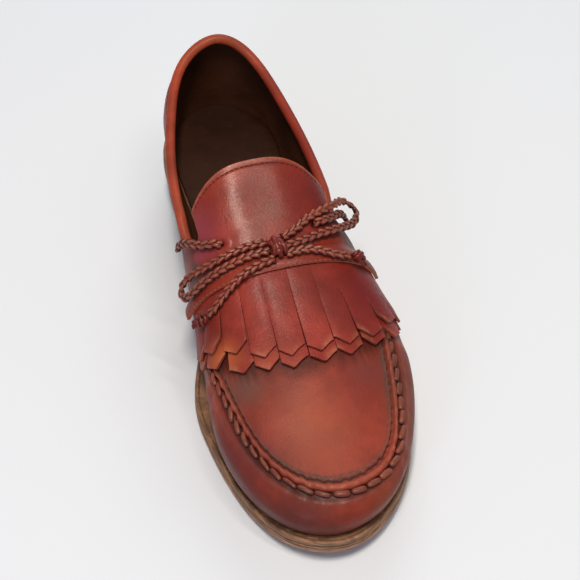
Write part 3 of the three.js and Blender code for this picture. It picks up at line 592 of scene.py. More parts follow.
MATERIALS = {
    "vamp_leather": lambda name, s: polished_leather(name, s.vamp_color, VAMP_SPOTS, 0.5, 0.08),
    "collar_leather": lambda name, s: polished_leather(name, s.collar_color, COLLAR_SPOTS, 0.5, 0.08, 0.8),
    "tongue_leather": lambda name, s: polished_leather(name, s.tongue_color, TONGUE_SPOTS, 0.45, 0.2, 1.5, 0.16),
    "fringe_leather": lambda name, s: polished_leather(name, s.fringe_color, FRINGE_SPOTS, 0.46, 0.14, 1.5, 0.17),
    "lace_leather": lambda name, s: polished_leather(name, s.lace_color, (), 0.36, 0.3, 0.6, 0.2),
    "lash_leather": lambda name, s: polished_leather(name, srgb(110, 50, 38), (), 0.45, 0.2, 1.5),
    "raw_edge": lambda name, s: cut_leather(name, srgb(196, 120, 88)),
    "cut_edge": lambda name, s: cut_leather(name, srgb(128, 60, 44)),
    "lining_leather": lambda name, s: lining(name, s.lining_color),
    "sock_leather": lambda name, s: lining(name, shade(s.lining_color, 0.5)),
    "sole_edge": lambda name, s: stacked_edge(name, s.sole_color, shade(s.sole_color, 0.36)),
    "welt_edge": lambda name, s: stacked_edge(name, shade(s.sole_color, 0.72), shade(s.sole_color, 0.26)),
    "heel_edge": lambda name, s: stacked_edge(name, shade(s.sole_color, 0.42), shade(s.sole_color, 0.12), 0.0045),
    "top_lift_rubber": lambda name, s: rubber(name),
    "dark_thread": lambda name, s: thread(name, srgb(64, 28, 26)),
    "tan_thread": lambda name, s: thread(name, srgb(142, 78, 54)),
    "welt_thread": lambda name, s: thread(name, srgb(108, 76, 50)),
}

VAMP_SPOTS = (
    ((-35, -68, 48), 17, srgb(96, 66, 58), 0.85),
    ((26, -76, 46), 15, srgb(96, 60, 56), 0.7),
    ((-30, -112, 12), 30, srgb(78, 36, 34), 0.7),
    ((-8, -96, 43), 34, srgb(166, 84, 58), 0.55),
    ((22, -84, 45), 30, srgb(122, 42, 36), 0.6),
    ((-6, -120, 40), 26, srgb(164, 72, 52), 0.5),
    ((-40, -98, 26), 34, srgb(104, 40, 42), 0.8),
    ((-22, -136, 22), 30, srgb(92, 42, 38), 0.7),
    ((22, -140, 22), 26, srgb(140, 70, 40), 0.8),
    ((52, -96, 26), 40, srgb(126, 66, 42), 0.7),
    ((-38, 0, 44), 44, srgb(120, 40, 34), 0.6),
)
# Patches on the tongue: middle, radius, colour and strength. The first, violet patch is a painted reflection, a violet
# sheen on the tongue's medial side.
TONGUE_SPOTS = (
    ((-40, 12, 72), 26, srgb(142, 62, 78), 0.75),
    ((32, 18, 80), 34, srgb(98, 28, 26), 0.85),
    ((46, -6, 60), 18, srgb(84, 44, 32), 0.95),
    ((-46, 0, 60), 13, srgb(100, 58, 44), 0.7),
)
COLLAR_SPOTS = (
    ((38, 60, 64), 75, srgb(122, 36, 24), 0.9),
    ((0, 140, 70), 38, srgb(148, 82, 50), 0.6),
)
FRINGE_SPOTS = (
    ((-40, -50, 50), 15, srgb(178, 92, 54), 0.9),
    ((42, -36, 54), 34, srgb(108, 26, 28), 0.85),
    ((-20, -62, 54), 16, srgb(164, 78, 58), 0.5),
)


def add_grid(bm, points, slots=None, tags=None, flip=False):
    """A grid bent over points in millimetres: rows by columns, with material slots and tags."""
    rows, columns = points.shape[:2]
    tags = {name: np.broadcast_to(values, (rows, columns)) for name, values in (tags or {}).items()}
    layers = {name: bm.verts.layers.float.get(name) or bm.verts.layers.float.new(name) for name in tags}
    made = bmesh.ops.create_grid(bm, x_segments=columns - 1, y_segments=rows - 1, size=0.5)["verts"]
    faces = {face for vert in made for face in vert.link_faces}
    if slots is not None:
        for face in faces:
            middle = face.calc_center_median()
            row = min(rows - 2, int((middle.y + 0.5) * (rows - 1)))
            column = min(columns - 2, int((middle.x + 0.5) * (columns - 1)))
            face.material_index = int(slots[row][column])
    placed = (points + (SHIFT, 0, 0)) / 1000
    for vert in made:
        row = round((vert.co.y + 0.5) * (rows - 1))
        column = round((vert.co.x + 0.5) * (columns - 1))
        for name, layer in layers.items():
            vert[layer] = float(tags[name][row][column])
        vert.co = placed[row][column]
    if flip:
        bmesh.ops.reverse_faces(bm, faces=list(faces))


def square_to(heading, up):
    """The side and up directions square to a heading, with up near the one given."""
    side = unit(np.cross(up, heading))
    return side, unit(np.cross(heading, side))


def doubled_ends(rows):
    return np.concatenate([rows[:1], rows, rows[-1:]])


def add_tube(bm, centres, directions, half_width, half_height, facets=8, tags=None):
    """A tube along centres with an oval section and closed ends; directions are its sides and ups."""
    angle = np.linspace(0, 2 * math.pi, facets + 1)
    wide, high = [np.pad(np.broadcast_to(half, len(centres)), 1) for half in (half_width, half_height)]
    centres, sides, ups = [doubled_ends(rows)[:, None] for rows in (centres, *directions)]
    ring = (centres + sides * (wide[:, None] * np.cos(angle))[..., None]
            + ups * (high[:, None] * np.sin(angle))[..., None])
    add_grid(bm, ring, tags=tags)


def add_stitch(bm, start, end, up, width):
    """One thread stitch from start to end, a drawn-out bead, lower than it is wide."""
    run = (end - start) / 2
    along = Vector(run / np.linalg.norm(run))
    up = Vector(up)
    side = up.cross(along).normalized()
    up = along.cross(side)
    middle = Vector((start + end) / 2 + (SHIFT, 0, 0)) / 1000
    turn = Matrix((along, side, up)).transposed().to_4x4()
    size = Matrix.Diagonal((np.linalg.norm(run) / 1000, width / 2000, width * 0.7 / 2000, 1))
    bmesh.ops.create_uvsphere(bm, u_segments=8, v_segments=5, radius=1,
                              matrix=Matrix.Translation(middle) @ turn @ size)


def put(name, data):
    made = bpy.data.objects.new(name, data)
    bpy.context.scene.collection.objects.link(made)
    return made


def mesh_of(name, bm):
    mesh = bpy.data.meshes.new(name)
    bm.to_mesh(mesh)
    bm.free()
    return mesh


def piece(name, bm, looks, replaces=(), weld=1e-6, closed=True):
    """Turns the mesh into an object that rides on the shoe and stands for its solids."""
    if weld:
        bmesh.ops.remove_doubles(bm, verts=bm.verts, dist=weld)
    if closed:
        bmesh.ops.recalc_face_normals(bm, faces=bm.faces)
    mesh = mesh_of(name, bm)
    for finish in looks:
        mesh.materials.append(look(finish))
    mesh.shade_smooth()
    made = put(name, mesh)
    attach(made, "root")
    if replaces:
        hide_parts(*replaces)
    return made


def thickened(made, thickness):
    """Gives a sheet its thickness, with the second finish on its cut edges, which are a little rounded."""
    wall = made.modifiers.new("thickness", "SOLIDIFY")
    wall.thickness = thickness / 1000
    wall.offset = 1
    wall.use_even_offset = True
    wall.material_offset_rim = 1
    bevel = made.modifiers.new("rounded edge", "BEVEL")
    bevel.width = 0.00022
    bevel.segments = 2
    bevel.limit_method = "ANGLE"
    bevel.angle_limit = math.radians(50)
    bevel.harden_normals = True


def arc_lengths(path):
    return np.concatenate([[0], np.cumsum(np.linalg.norm(np.diff(path, axis=0), axis=1))])


def along_path(places, lengths, path):
    """The path's points, or its directions, at places that are lengths from its start."""
    return np.stack([np.interp(places, lengths, path[:, i]) for i in range(3)], axis=-1)


def smooth_path(points, step):
    """A smooth line through points, a step apart."""
    lengths = arc_lengths(points)
    curves = [open_curve(lengths, points[:, i]) for i in range(3)]
    places = np.linspace(0, lengths[-1], len(points) * 24)
    path = np.stack([curve(places) for curve in curves], axis=-1)
    lengths = arc_lengths(path)
    return along_path(np.linspace(0, lengths[-1], int(round(lengths[-1] / step)) + 1), lengths, path)


def jitter(number, salt=0.0):
    """A steady stand-in for chance, from -1 to 1."""
    return 2 * (math.sin(number * 12.9898 + salt * 78.233) * 43758.5453 % 1) - 1


# The sole's edges from the bottom up: inset in millimetres, height as a share of the layer, and shadow.
OUTSOLE_EDGE = ((1.2, 0, 0), (0.6, 0.05, 0), (0.25, 0.14, 0), (0.05, 0.28, 0), (0, 0.46, 0), (0.05, 0.62, 0),
                (0.15, 0.7, 0.4), (0.55, 0.75, 1), (0.5, 0.79, 0.9), (0.1, 0.84, 0.2), (0.2, 0.93, 0), (0.9, 1, 0.7))
WELT_EDGE = ((1.1, 0, 1), (0.5, 0.05, 0.7), (0.3, 0.2, 0.2), (0.25, 0.45, 0), (0.35, 0.7, 0), (0.65, 0.9, 0),
             (1.2, 1, 0), (2, 1, 0), (2.4, 0.92, 0.25), (2.8, 0.92, 0.3), (3.2, 1, 0.1))
HEEL_EDGE = 0.8
SOLE_PLACES = 220
CHORD_POINTS = 14


def plate(name, edge, profile, looks, replaces):
    """A plate from a closed outline: profile gives inset, height along the shoe and shadow, bottom to top."""
    half = len(edge) // 2
    loops = []
    for inset, height, shadow in profile:
        loop = inset_loop(edge, inset)
        loops.append((np.concatenate([loop, height(along_of(loop[:, 1]))[:, None]], axis=1), height, shadow))
    rows = np.arange(half + 1)
    mirrored = -rows % len(edge)

    def chord(loop, height, start, end):
        share = np.linspace(0, 1, CHORD_POINTS)[None, 1:-1, None]
        line = blend(loop[start][:, None], loop[end][:, None], share)
        line[..., 2] = height(along_of(line[..., 1]))
        return line

    bottom, top = loops[0], loops[-1]
    parts = [chord(bottom[0], bottom[1], rows, mirrored)]
    parts += [loop[mirrored][:, None] for loop, _, _ in loops]
    parts += [chord(top[0], top[1], mirrored, rows)]
    parts += [loop[rows][:, None] for loop, _, _ in reversed(loops)]
    section = np.concatenate(parts, axis=1)
    section = np.concatenate([section, section[:, :1]], axis=1)
    shadows = [shadow for _, _, shadow in loops]
    flat = [0] * (CHORD_POINTS - 2)
    tags = {"shadow": np.tile(flat + shadows + flat + shadows[::-1] + [0], (half + 1, 1))}
    bm = bmesh.new()
    add_grid(bm, section, tags=tags)
    return piece(name, bm, looks, replaces)


def heel_outline():
    """The outline behind the breast: even counts on both sides, heel tip first and the breast's middle halfway."""
    def half(side):
        start = 0.0 if side > 0 else float(AROUND)
        corner = np.interp(HEEL_BREAST, STATION["sole_along"](SIDE_PLACES[side]), SIDE_PLACES[side])
        run = edge_point(blend(start, corner, np.linspace(0, 0.95, 60)))
        return run, edge_point(np.array([corner]))[0]

    lateral, lateral_corner = half(1)
    medial, medial_corner = half(-1)
    middle = np.array([(lateral_corner[0] + medial_corner[0]) / 2, lengthwise(HEEL_BREAST + BREAST_CURVE)])

    def breast(corner):
        share = np.linspace(0.05, 1, 14)[:-1]
        return np.stack([blend(corner[0], middle[0], share),
                         blend(corner[1], middle[1], share * (2 - share))], axis=-1)

    first = np.concatenate([lateral, breast(lateral_corner)])
    second = np.concatenate([medial, breast(medial_corner)])[1:]
    return np.concatenate([first, middle[None], second[::-1]])


def make_soles():
    edge = edge_point(np.arange(SOLE_PLACES) * AROUND / SOLE_PLACES)

    def layer(foot, thickness, profile):
        def height_at(share):
            return lambda along: underside(along) + foot + share * thickness
        return [(inset, height_at(share), shadow) for inset, share, shadow in profile]

    plate("outsole_dressed", edge, layer(0, OUTSOLE_THICKNESS, OUTSOLE_EDGE), ["sole_edge"], ["outsole"])
    plate("welt_dressed", edge, layer(OUTSOLE_THICKNESS + CLEARANCE, WELT_THICKNESS, WELT_EDGE), ["welt_edge"],
          ["welt"])
    heel = heel_outline()
    foot = TOP_LIFT_THICKNESS + CLEARANCE

    def flat(height):
        return lambda along: np.full_like(along, height)

    def below_sole(drop):
        return lambda along: underside(along) - CLEARANCE - drop

    plate("heel_dressed", heel, [
        (HEEL_TAPER + 0.6, flat(foot), 0.8), (HEEL_TAPER + 0.15, flat(foot + 0.3), 0),
        (HEEL_TAPER, flat(foot + HEEL_EDGE), 0), (HEEL_EDGE, below_sole(HEEL_EDGE), 0),
        (HEEL_EDGE + 0.1, below_sole(0.3), 0.3), (1.5 * HEEL_EDGE, below_sole(0), 0.8),
    ], ["heel_edge"], ["heel_stack"])
    plate("top_lift_dressed", heel, [
        (HEEL_TAPER + 2 * HEEL_EDGE, flat(0), 0), (HEEL_TAPER + 1.3 * HEEL_EDGE, flat(0.25), 0),
        (HEEL_TAPER + HEEL_EDGE, flat(HEEL_EDGE), 0), (HEEL_TAPER + 0.4, flat(TOP_LIFT_THICKNESS - 0.4), 0),
        (HEEL_TAPER + 0.9, flat(TOP_LIFT_THICKNESS), 0.6),
    ], ["top_lift_rubber"], ["top_lift"])


def make_sock():
    """The sock lining over the insole, a little dished."""
    at = np.arange(SOLE_PLACES) * AROUND / SOLE_PLACES
    foot = upper_point(at, 0)
    outward = upper_point(at, 0.5) - foot
    outward[:, 2] = 0
    floor = UPPER_WALL + 2 * CLEARANCE
    edge = (foot - unit(outward) * 0.4)[:, :2]

    def raised(rise):
        return lambda along: sole_top(along) + floor + rise

    plate("sock", edge, [
        (1.3, raised(0), 0.8), (0.9, raised(1.2), 0.8), (0.5, raised(2.2), 0.6), (0.2, raised(2.8), 0.4),
        (0.7, raised(INSOLE_THICKNESS), 0.3),
    ], ["sock_leather"], ["insole"])


# Creases in the upper: station round the shoe and section at both ends, depth and width.
CREASES = (
    ((7.62, 1.95), (7.7, 0.75), 0.55, 3.0),
    ((7.2, 1.9), (7.32, 1.0), 0.35, 3.4),
    ((5.6, 1.9), (5.75, 0.9), 0.5, 4.5),
    ((5.3, 1.85), (5.4, 1.0), 0.45, 4.0),
    ((12.35, 1.9), (12.25, 0.95), 0.5, 4.5),
    ((12.7, 1.8), (12.6, 1.0), 0.4, 4.0),
    ((3.2, 2.3), (3.9, 1.5), 0.5, 5.0),
    ((14.9, 2.3), (14.2, 1.5), 0.5, 5.0),
    ((1.3, 2.2), (1.5, 1.2), 0.3, 6.0),
    ((16.7, 2.2), (16.5, 1.2), 0.3, 6.0),
)
SEAM_FIRST = 4.75
SEAM_LAST = 13.35
# How far below the rim the collar's stitches run, and how far from its raw edge the tongue's.
COLLAR_STITCH_DROP = 9.5
TONGUE_STITCH_DROP = 3.2


def seam_line(at):
    """A place on the seam and the directions along it, out of the leather and across it towards the plug."""
    line = upper_point(at, 2.0)
    along = unit(np.gradient(line, axis=0))
    out = off_upper(at, 1.97)
    inward = unit(np.cross(along, out))
    return line, along, out, inward


def seam_strength(at):
    return ease(4.3, 5.0, at) * (1 - ease(13.1, 13.7, at))


def crease_relief(points):
    """The height of all the creases at the points, in millimetres."""
    relief = 0
    for start, end, depth, width in CREASES:
        first, last = upper_point(np.array([start[0], end[0]]), np.array([start[1], end[1]]))
        run = last - first
        share = np.clip(((points - first) @ run) / (run @ run), 0, 1)
        away = np.linalg.norm(points - first - share[..., None] * run, axis=-1)
        fade = np.sin(math.pi * np.clip(share, 0.04, 0.96)) ** 0.7
        relief = relief + depth * fade * (0.4 * hump(away, 1.7 * width, width) - hump(away, 0, width))
    return relief


def under_fringe(v, points):
    """The painted shadow beneath the fringe: how dark the leather is painted there."""
    place = along_of(points[..., 1])
    over = np.clip(turn_of(np.clip(place, 0.3, 0.98), points[..., 0]), -1, 1)
    front = np.interp(over, [tip[0] for tip in LOWER_TIPS], [tip[1] for tip in LOWER_TIPS])
    return 0.7 * (1 - ease(-0.004, 0.016, place - front)) * (v > 1.5) * (place > 0.5)


def upper_relief(at, v, across, points, lengths):
    """How far the leather stands off the plain form, in millimetres, then its soil and its shadow.

    across is the distance from the seam in millimetres, towards the plug, and lengths is the way along it.
    """
    strength = seam_strength(at)
    height = sizes().seam_height * 1000
    medial = ease(9.4, 10.4, at)
    pull = np.sin(2 * math.pi * lengths / 7.15) + 0.4 * np.sin(lengths / 1.9 + 2 * np.sin(lengths / 11))
    centre = 0.3 + (0.08 + 0.3 * medial) * pull
    lumps = 1 + 0.1 * pull + 0.09 * np.sin(lengths / 1.3 + 2 * np.sin(lengths / 4.1))
    roll = height * lumps * np.sqrt(np.clip(1 - ((across - centre) / (2.1 - 0.5 * medial)) ** 2, 0, 1))
    scallop = 3.0 - 0.3 * medial + 0.65 * np.abs(np.sin(math.pi * lengths / 4.3)) + 0.25 * pull
    gully = -0.75 * hump(across, scallop, 0.5) - 0.9 * hump(across, centre - 2.2, 0.5)
    bank = 0.5 * hump(across, scallop + 1.3, 0.9)
    pucker = 0.2 * np.exp(-np.abs(across + 6.2) / 2.2) * pull * (across < -2.4)
    swell = 0.55 * hump(across, -6.4, 1.8)
    relief = strength * np.where(np.abs(across) < 14, roll + gully + bank + pucker + swell, 0)
    relief = relief + crease_relief(points)
    sag = 0.35 * np.sin(points[..., 1] / 17 + points[..., 2] / 23) * np.sin(points[..., 2] / 13 + 1)
    relief = relief + sag * ease(0.2, 1, v) * (1 - ease(2.5, 2.9, v))
    dirty = 0.85 + 0.35 * np.sin(lengths / 17 + 0.9) + 0.7 * hump(at, 12.6, 0.7)
    soil = dirty * hump(across, scallop + 1.3, 2.5) + 0.35 * hump(across, -6, 1.2)
    soil = soil + hump(at, 6.1, 1.2) * hump(across, 5.8, 2.4, 4)
    # Painted shade: dark lines in the gullies beside the roll and in the gaps between the lashes.
    dark = hump(across, centre - 2.2, 0.45) + 0.8 * hump(across, scallop, 0.32) + 0.75 * hump(across, -3.6, 1.7, 4)
    # Painted shade: the wall below the seam is darker towards the sole, where less light reaches it.
    wall = 0.3 * ease(0.2, 0.9, 2 - v)
    # The painted shadow beneath the fringe joins them.
    shadow = np.maximum(np.maximum(strength * np.clip(dark, 0, 1), wall), under_fringe(v, points))
    return relief, np.clip(strength * soil, 0, 1), shadow


def rim_bead(at, top, roll, radius):
    """The rounded rim, from the outside over its top to the inside; it is a thick roll round the collar."""
    rise = unit(top - upper_point(at, 2.98))
    outward = off_upper(at, 2.98)
    centre = top - rise * radius[:, None] - outward * blend(UPPER_WALL / 2, 0.6 * radius, roll)[:, None]
    start = -0.8 * roll
    angle = blend(start, math.pi - start, np.linspace(0, 1, 15)[:, None])[..., None]
    return centre + radius[:, None] * (outward * np.cos(angle) + rise * np.sin(angle))


def make_upper():
    """The vamp, quarters, rolled collar and lining as one closed wall."""
    at = np.concatenate([np.linspace(0, 4.4, 90, endpoint=False), np.linspace(4.4, 13.6, 380, endpoint=False),
                         np.linspace(13.6, AROUND, 91)])
    from_heel = np.minimum(at, AROUND - at)
    section = [upper_point(at, v) for v in (1.0, 2.0, 3.0)]
    wall_length = np.linalg.norm(section[0] - section[1], axis=-1)
    plug_length = np.linalg.norm(section[1] - section[2], axis=-1)
    roll = 1 - ease(ROLL_END, VAMP_TO, from_heel)
    radius = blend(UPPER_WALL / 2, COLLAR_ROLL_RADIUS, roll)
    reach = np.maximum(0.5, 1 - 1.8 * radius / plug_length)

    low = [np.full_like(at, v) for v in (0, 0.12, 0.25, 0.4, 0.55, 0.7, 0.82, 0.92)]
    below = np.minimum(9 / wall_length, 0.75)
    above = np.minimum(8 / plug_length, 0.5)
    wall = [blend(1.0, 2 - below, share) for share in np.linspace(0, 1, 12)[:-1]]
    zone = [2 + share * (below if share < 0 else above) for share in np.linspace(-1, 1, 47)]
    plug = [blend(2 + above, 2 + reach, share) for share in np.linspace(0, 1, 16)[1:]]
    v = np.stack(low + wall + zone + plug)
    places = np.broadcast_to(at, v.shape)
    outside = upper_point(places, v)
    across = np.where(v < 2, (v - 2) * wall_length, (v - 2) * plug_length)
    lengths = arc_lengths(section[1])
    relief, soil, shadow = upper_relief(at, v, across, outside, lengths)
    fold = ease(ROLL_END - 1.2, ROLL_END, from_heel)
    seam_groove = hump(plug_length * (3 - v), COLLAR_STITCH_DROP, 0.9) * roll
    relief = relief - 0.35 * seam_groove
    outside = outside + off_upper(places, v) * relief[..., None]

    bead = rim_bead(at, section[2], roll, radius)
    inner_v = (2 + 0.9 * reach, 2.5, 2.25, 2, 1.7, 1.35, 1, 0.8, 0.6, 0.4, 0.2, 0)
    inside = [upper_point(at, v) - off_upper(at, v) * UPPER_WALL for v in inner_v]
    profile = np.concatenate([outside, bead, np.stack(inside), outside[:1]])
    rows = len(profile)
    slots = np.zeros((rows - 1, len(at) - 1), int)
    slots[len(v) - 1:len(v) + len(bead)] = 1
    slots[len(v) + len(bead):] = 2
    tags = {}
    # Painted shade along the collar's stitch groove goes into the shadow tag.
    for name, values in (("soil", soil), ("shadow", np.clip(shadow + 0.8 * seam_groove, 0, 1))):
        tags[name] = np.concatenate([values, np.zeros((rows - len(values), len(at)))])
    tags["wear_and_highlight"] = np.concatenate([
        0.3 * hump(across, 0.3, 0.9) * seam_strength(at),
        np.broadcast_to(0.12 * fold, (rows - len(v), len(at)))])
    bm = bmesh.new()
    add_grid(bm, profile, slots, tags)
    return piece("upper_shell", bm, ["vamp_leather", "collar_leather", "lining_leather"], ["upper"])


def make_seam():
    """The lashes that bind the vamp to the plug, laid end to end outside the roll, with painted shade at their ends and
    sides and tops that are lighter, partly rubbed and partly a painted highlight.
    """
    line, along, out, inward = seam_line(np.linspace(SEAM_FIRST, SEAM_LAST, 2400))
    lengths = arc_lengths(line)
    length = sizes().lash_length * 1000
    run = np.linspace(-1, 1, 15)
    bm = bmesh.new()
    for i in range(int(lengths[-1] / length)):
        reach = length / 2 * (1.0 + 0.1 * jitter(i, 4))
        at = (i + 0.5) * length + 0.3 * jitter(i, 1) + run * reach
        foot, outward, inside, ahead = [along_path(at, lengths, table) for table in (line, out, inward, along)]
        slant = 0.3 - 0.16 * abs(float(ahead[7][0])) + 0.07 * jitter(i, 3)
        aside = slant * run * reach - 3.3 - 0.25 * jitter(i, 2) + 0.15 * np.sin(3 * run + i)
        arch = 0.1 + 0.15 * jitter(i, 8) + 0.55 * (1 - run ** 2)
        centre = foot + inside * aside[:, None] + outward * arch[:, None]
        heading = unit(np.gradient(centre, axis=0))
        side = unit(np.cross(outward, heading) + 0.25 * jitter(i, 5) * outward)
        blunt = np.sqrt(1 - 0.95 * np.abs(run) ** 7)
        wide = (1.65 + 0.2 * jitter(i, 7) - 0.4 * (ahead[7][1] > 0.4)) * blunt * (1 - 0.2 * run ** 2)
        rim = np.abs(np.cos(np.linspace(0, 2 * math.pi, 13)))[None] ** 5
        ends = np.concatenate([[1.0], np.abs(run) ** 8, [1.0]])[:, None]
        # Painted highlight, with some rubbing, on the lash tops.
        wear_and_highlight = 0.3 * (1 - rim) * (1 - ends) * (0.6 + 0.4 * jitter(i, 9))
        add_tube(bm, centre, (side, unit(np.cross(heading, side))), wide, 1.05 * blunt, 12,
                 {"shadow": np.maximum(0.9 * ends, 0.6 * rim), "wear_and_highlight": wear_and_highlight})
    return piece("seam_lashes", bm, ["lash_leather"])


def make_welt_stitches():
    """Thread marks along the top of the welt round the forepart."""
    at = np.linspace(3.2, 14.8, 3000)
    edge = edge_point(at)
    inward = np.stack([np.gradient(edge[:, 1]), -np.gradient(edge[:, 0])], axis=-1)
    place = edge + unit(inward) * 2.2
    height = underside(along_of(place[:, 1])) + OUTSOLE_THICKNESS + CLEARANCE + 0.93 * WELT_THICKNESS
    line = np.concatenate([place, height[:, None]], axis=1)
    bm = bmesh.new()
    sew(bm, line, np.tile([0.0, 0.0, 1.0], (len(line), 1)), 3.6, 2.7, 0.8, 0.05)
    return piece("welt_stitches", bm, ["welt_thread"], weld=0)


def collar_line(start, end, below):
    """A line on the outside of the quarters, below the rim, with its outward directions."""
    at = np.linspace(start, end, 1500)
    section = [upper_point(at, v) for v in (2.0, 3.0)]
    length = np.linalg.norm(section[1] - section[0], axis=-1)
    v = 3 - below / length
    return upper_point(at, v), off_upper(at, v)


def sew(bm, line, out, pitch, length, width, lift, swing=0.0):
    lengths = arc_lengths(line)
    for i in range(int(lengths[-1] / pitch)):
        start = np.searchsorted(lengths, i * pitch + 0.2)
        end = min(len(line) - 1, np.searchsorted(lengths, i * pitch + 0.2 + length))
        off = out[start] * (lift + swing * jitter(i, 6))
        add_stitch(bm, line[start] + off, line[end] + off, out[start], width)


def make_collar_stitches():
    bm = bmesh.new()
    stitch = sizes().stitch_length * 1000
    line, out = collar_line(-VAMP_FROM - 0.25, VAMP_FROM + 0.25, COLLAR_STITCH_DROP)
    sew(bm, line, out, stitch + 0.7, stitch, 0.7, -0.1)
    return piece("collar_stitches", bm, ["dark_thread"], weld=0)


# The lace's hole through the tongue on each side, along and turn.
TONGUE_HOLES = ((0.4925, -0.285), (0.493, 0.25))
SLOT_PATCHES = ((0.49, -0.66, 6.5), (0.5, 0.62, 7.5))


def tongue_table():
    places = np.arange(len(TONGUE_ROWS))
    return [open_curve(places, [row[i] for row in TONGUE_ROWS]) for i in range(4)]


def tongue_place(row, across, lift):
    """A point over the tongue: row from 0 at its raw edge to 8 at its stitched front."""
    centre, sides, reach, height = [curve(row) for curve in tongue_table()]
    along = blend(centre, sides, np.abs(across) ** TONGUE_ARCH)
    return along, across * reach, over_instep(along, across * reach, height + lift)


def tongue_face(row, across):
    """The tongue's outer face and the directions out of it."""
    foot = tongue_place(row, across, 0)[2]
    lengthwise_run = tongue_place(row + 0.01, across, 0)[2] - tongue_place(row - 0.01, across, 0)[2]
    crosswise_run = tongue_place(row, across + 0.002, 0)[2] - tongue_place(row, across - 0.002, 0)[2]
    out = unit(np.cross(crosswise_run, lengthwise_run))
    out = out * np.sign(out[:, 2:])
    return foot + out * TONGUE_THICKNESS, out


def make_tongue():
    """The domed tongue with its raw edge, lace holes and rubbed slots; painted shade darkens the holes and the stitch
    line.
    """
    rows = np.concatenate([np.linspace(0, 0.9, 16, endpoint=False), np.linspace(0.9, 8, 74)])
    across = np.linspace(-1, 1, 150)
    row_grid, across_grid = np.meshgrid(rows, across, indexing="ij")
    along, turn, flat = tongue_place(row_grid, across_grid, 0)
    lift = shadow = soil = np.zeros_like(along)
    for hole_along, hole_turn in TONGUE_HOLES:
        hole = over_instep(hole_along, hole_turn, 0.4)
        away = np.linalg.norm(flat - hole, axis=-1)
        lift = lift - 1.6 * hump(away, 0, 2.0) + 0.3 * hump(away, 3.4, 1.1)
        # Painted shade in the hole.
        shadow = np.maximum(shadow, 1 - ease(1.8, 2.7, away))
    for patch_along, patch_turn, size in SLOT_PATCHES:
        middle = over_instep(patch_along, patch_turn, 0.4)
        away = np.linalg.norm(flat - middle, axis=-1)
        soil = np.maximum(soil, 1 - ease(size * 0.5, size, away))
        lift = lift - 0.4 * hump(away, 0, 2.4)
    edge = arc_lengths(flat[:, 75])[:, None]
    lift = lift - 0.3 * hump(edge, TONGUE_STITCH_DROP, 0.45)
    # Painted shade along the stitch line.
    shadow = np.maximum(shadow, 0.85 * hump(edge, TONGUE_STITCH_DROP, 0.4))
    wear_and_highlight = 0.45 * (1 - ease(0.4, 2.6, edge))
    bottom = over_instep(along, turn, tongue_table()[3](row_grid) + lift)
    bm = bmesh.new()
    add_grid(bm, bottom, tags={"shadow": shadow, "wear_and_highlight": wear_and_highlight, "soil": soil}, flip=True)
    made = piece("tongue_dome", bm, ["tongue_leather", "raw_edge"], ["tongue"], closed=False)
    thickened(made, TONGUE_THICKNESS)

    stitch = sizes().stitch_length * 1000
    for name, looks, rows in (("tongue_edge_stitches", ["dark_thread"], (0.44,)),
                              ("saddle_stitches", ["tan_thread"], (7.86, 7.1))):
        bm = bmesh.new()
        for row in rows:
            across = np.linspace(-0.93, 0.93, 1500)
            line, out = tongue_face(np.full_like(across, row), across)
            sew(bm, line, out, stitch + 0.5, stitch, 0.8, -0.05)
        piece(name, bm, looks, weld=0)


# Where down the fringe its slits begin, by their place round the shoe: low at the sides.
SLIT_PLACES = (-0.95, -0.5, 0, 0.16, 0.31, 0.5, 0.95)
SLIT_STARTS = (0.3, 0.08, 0.03, 0.05, 0.35, 0.62, 0.78)


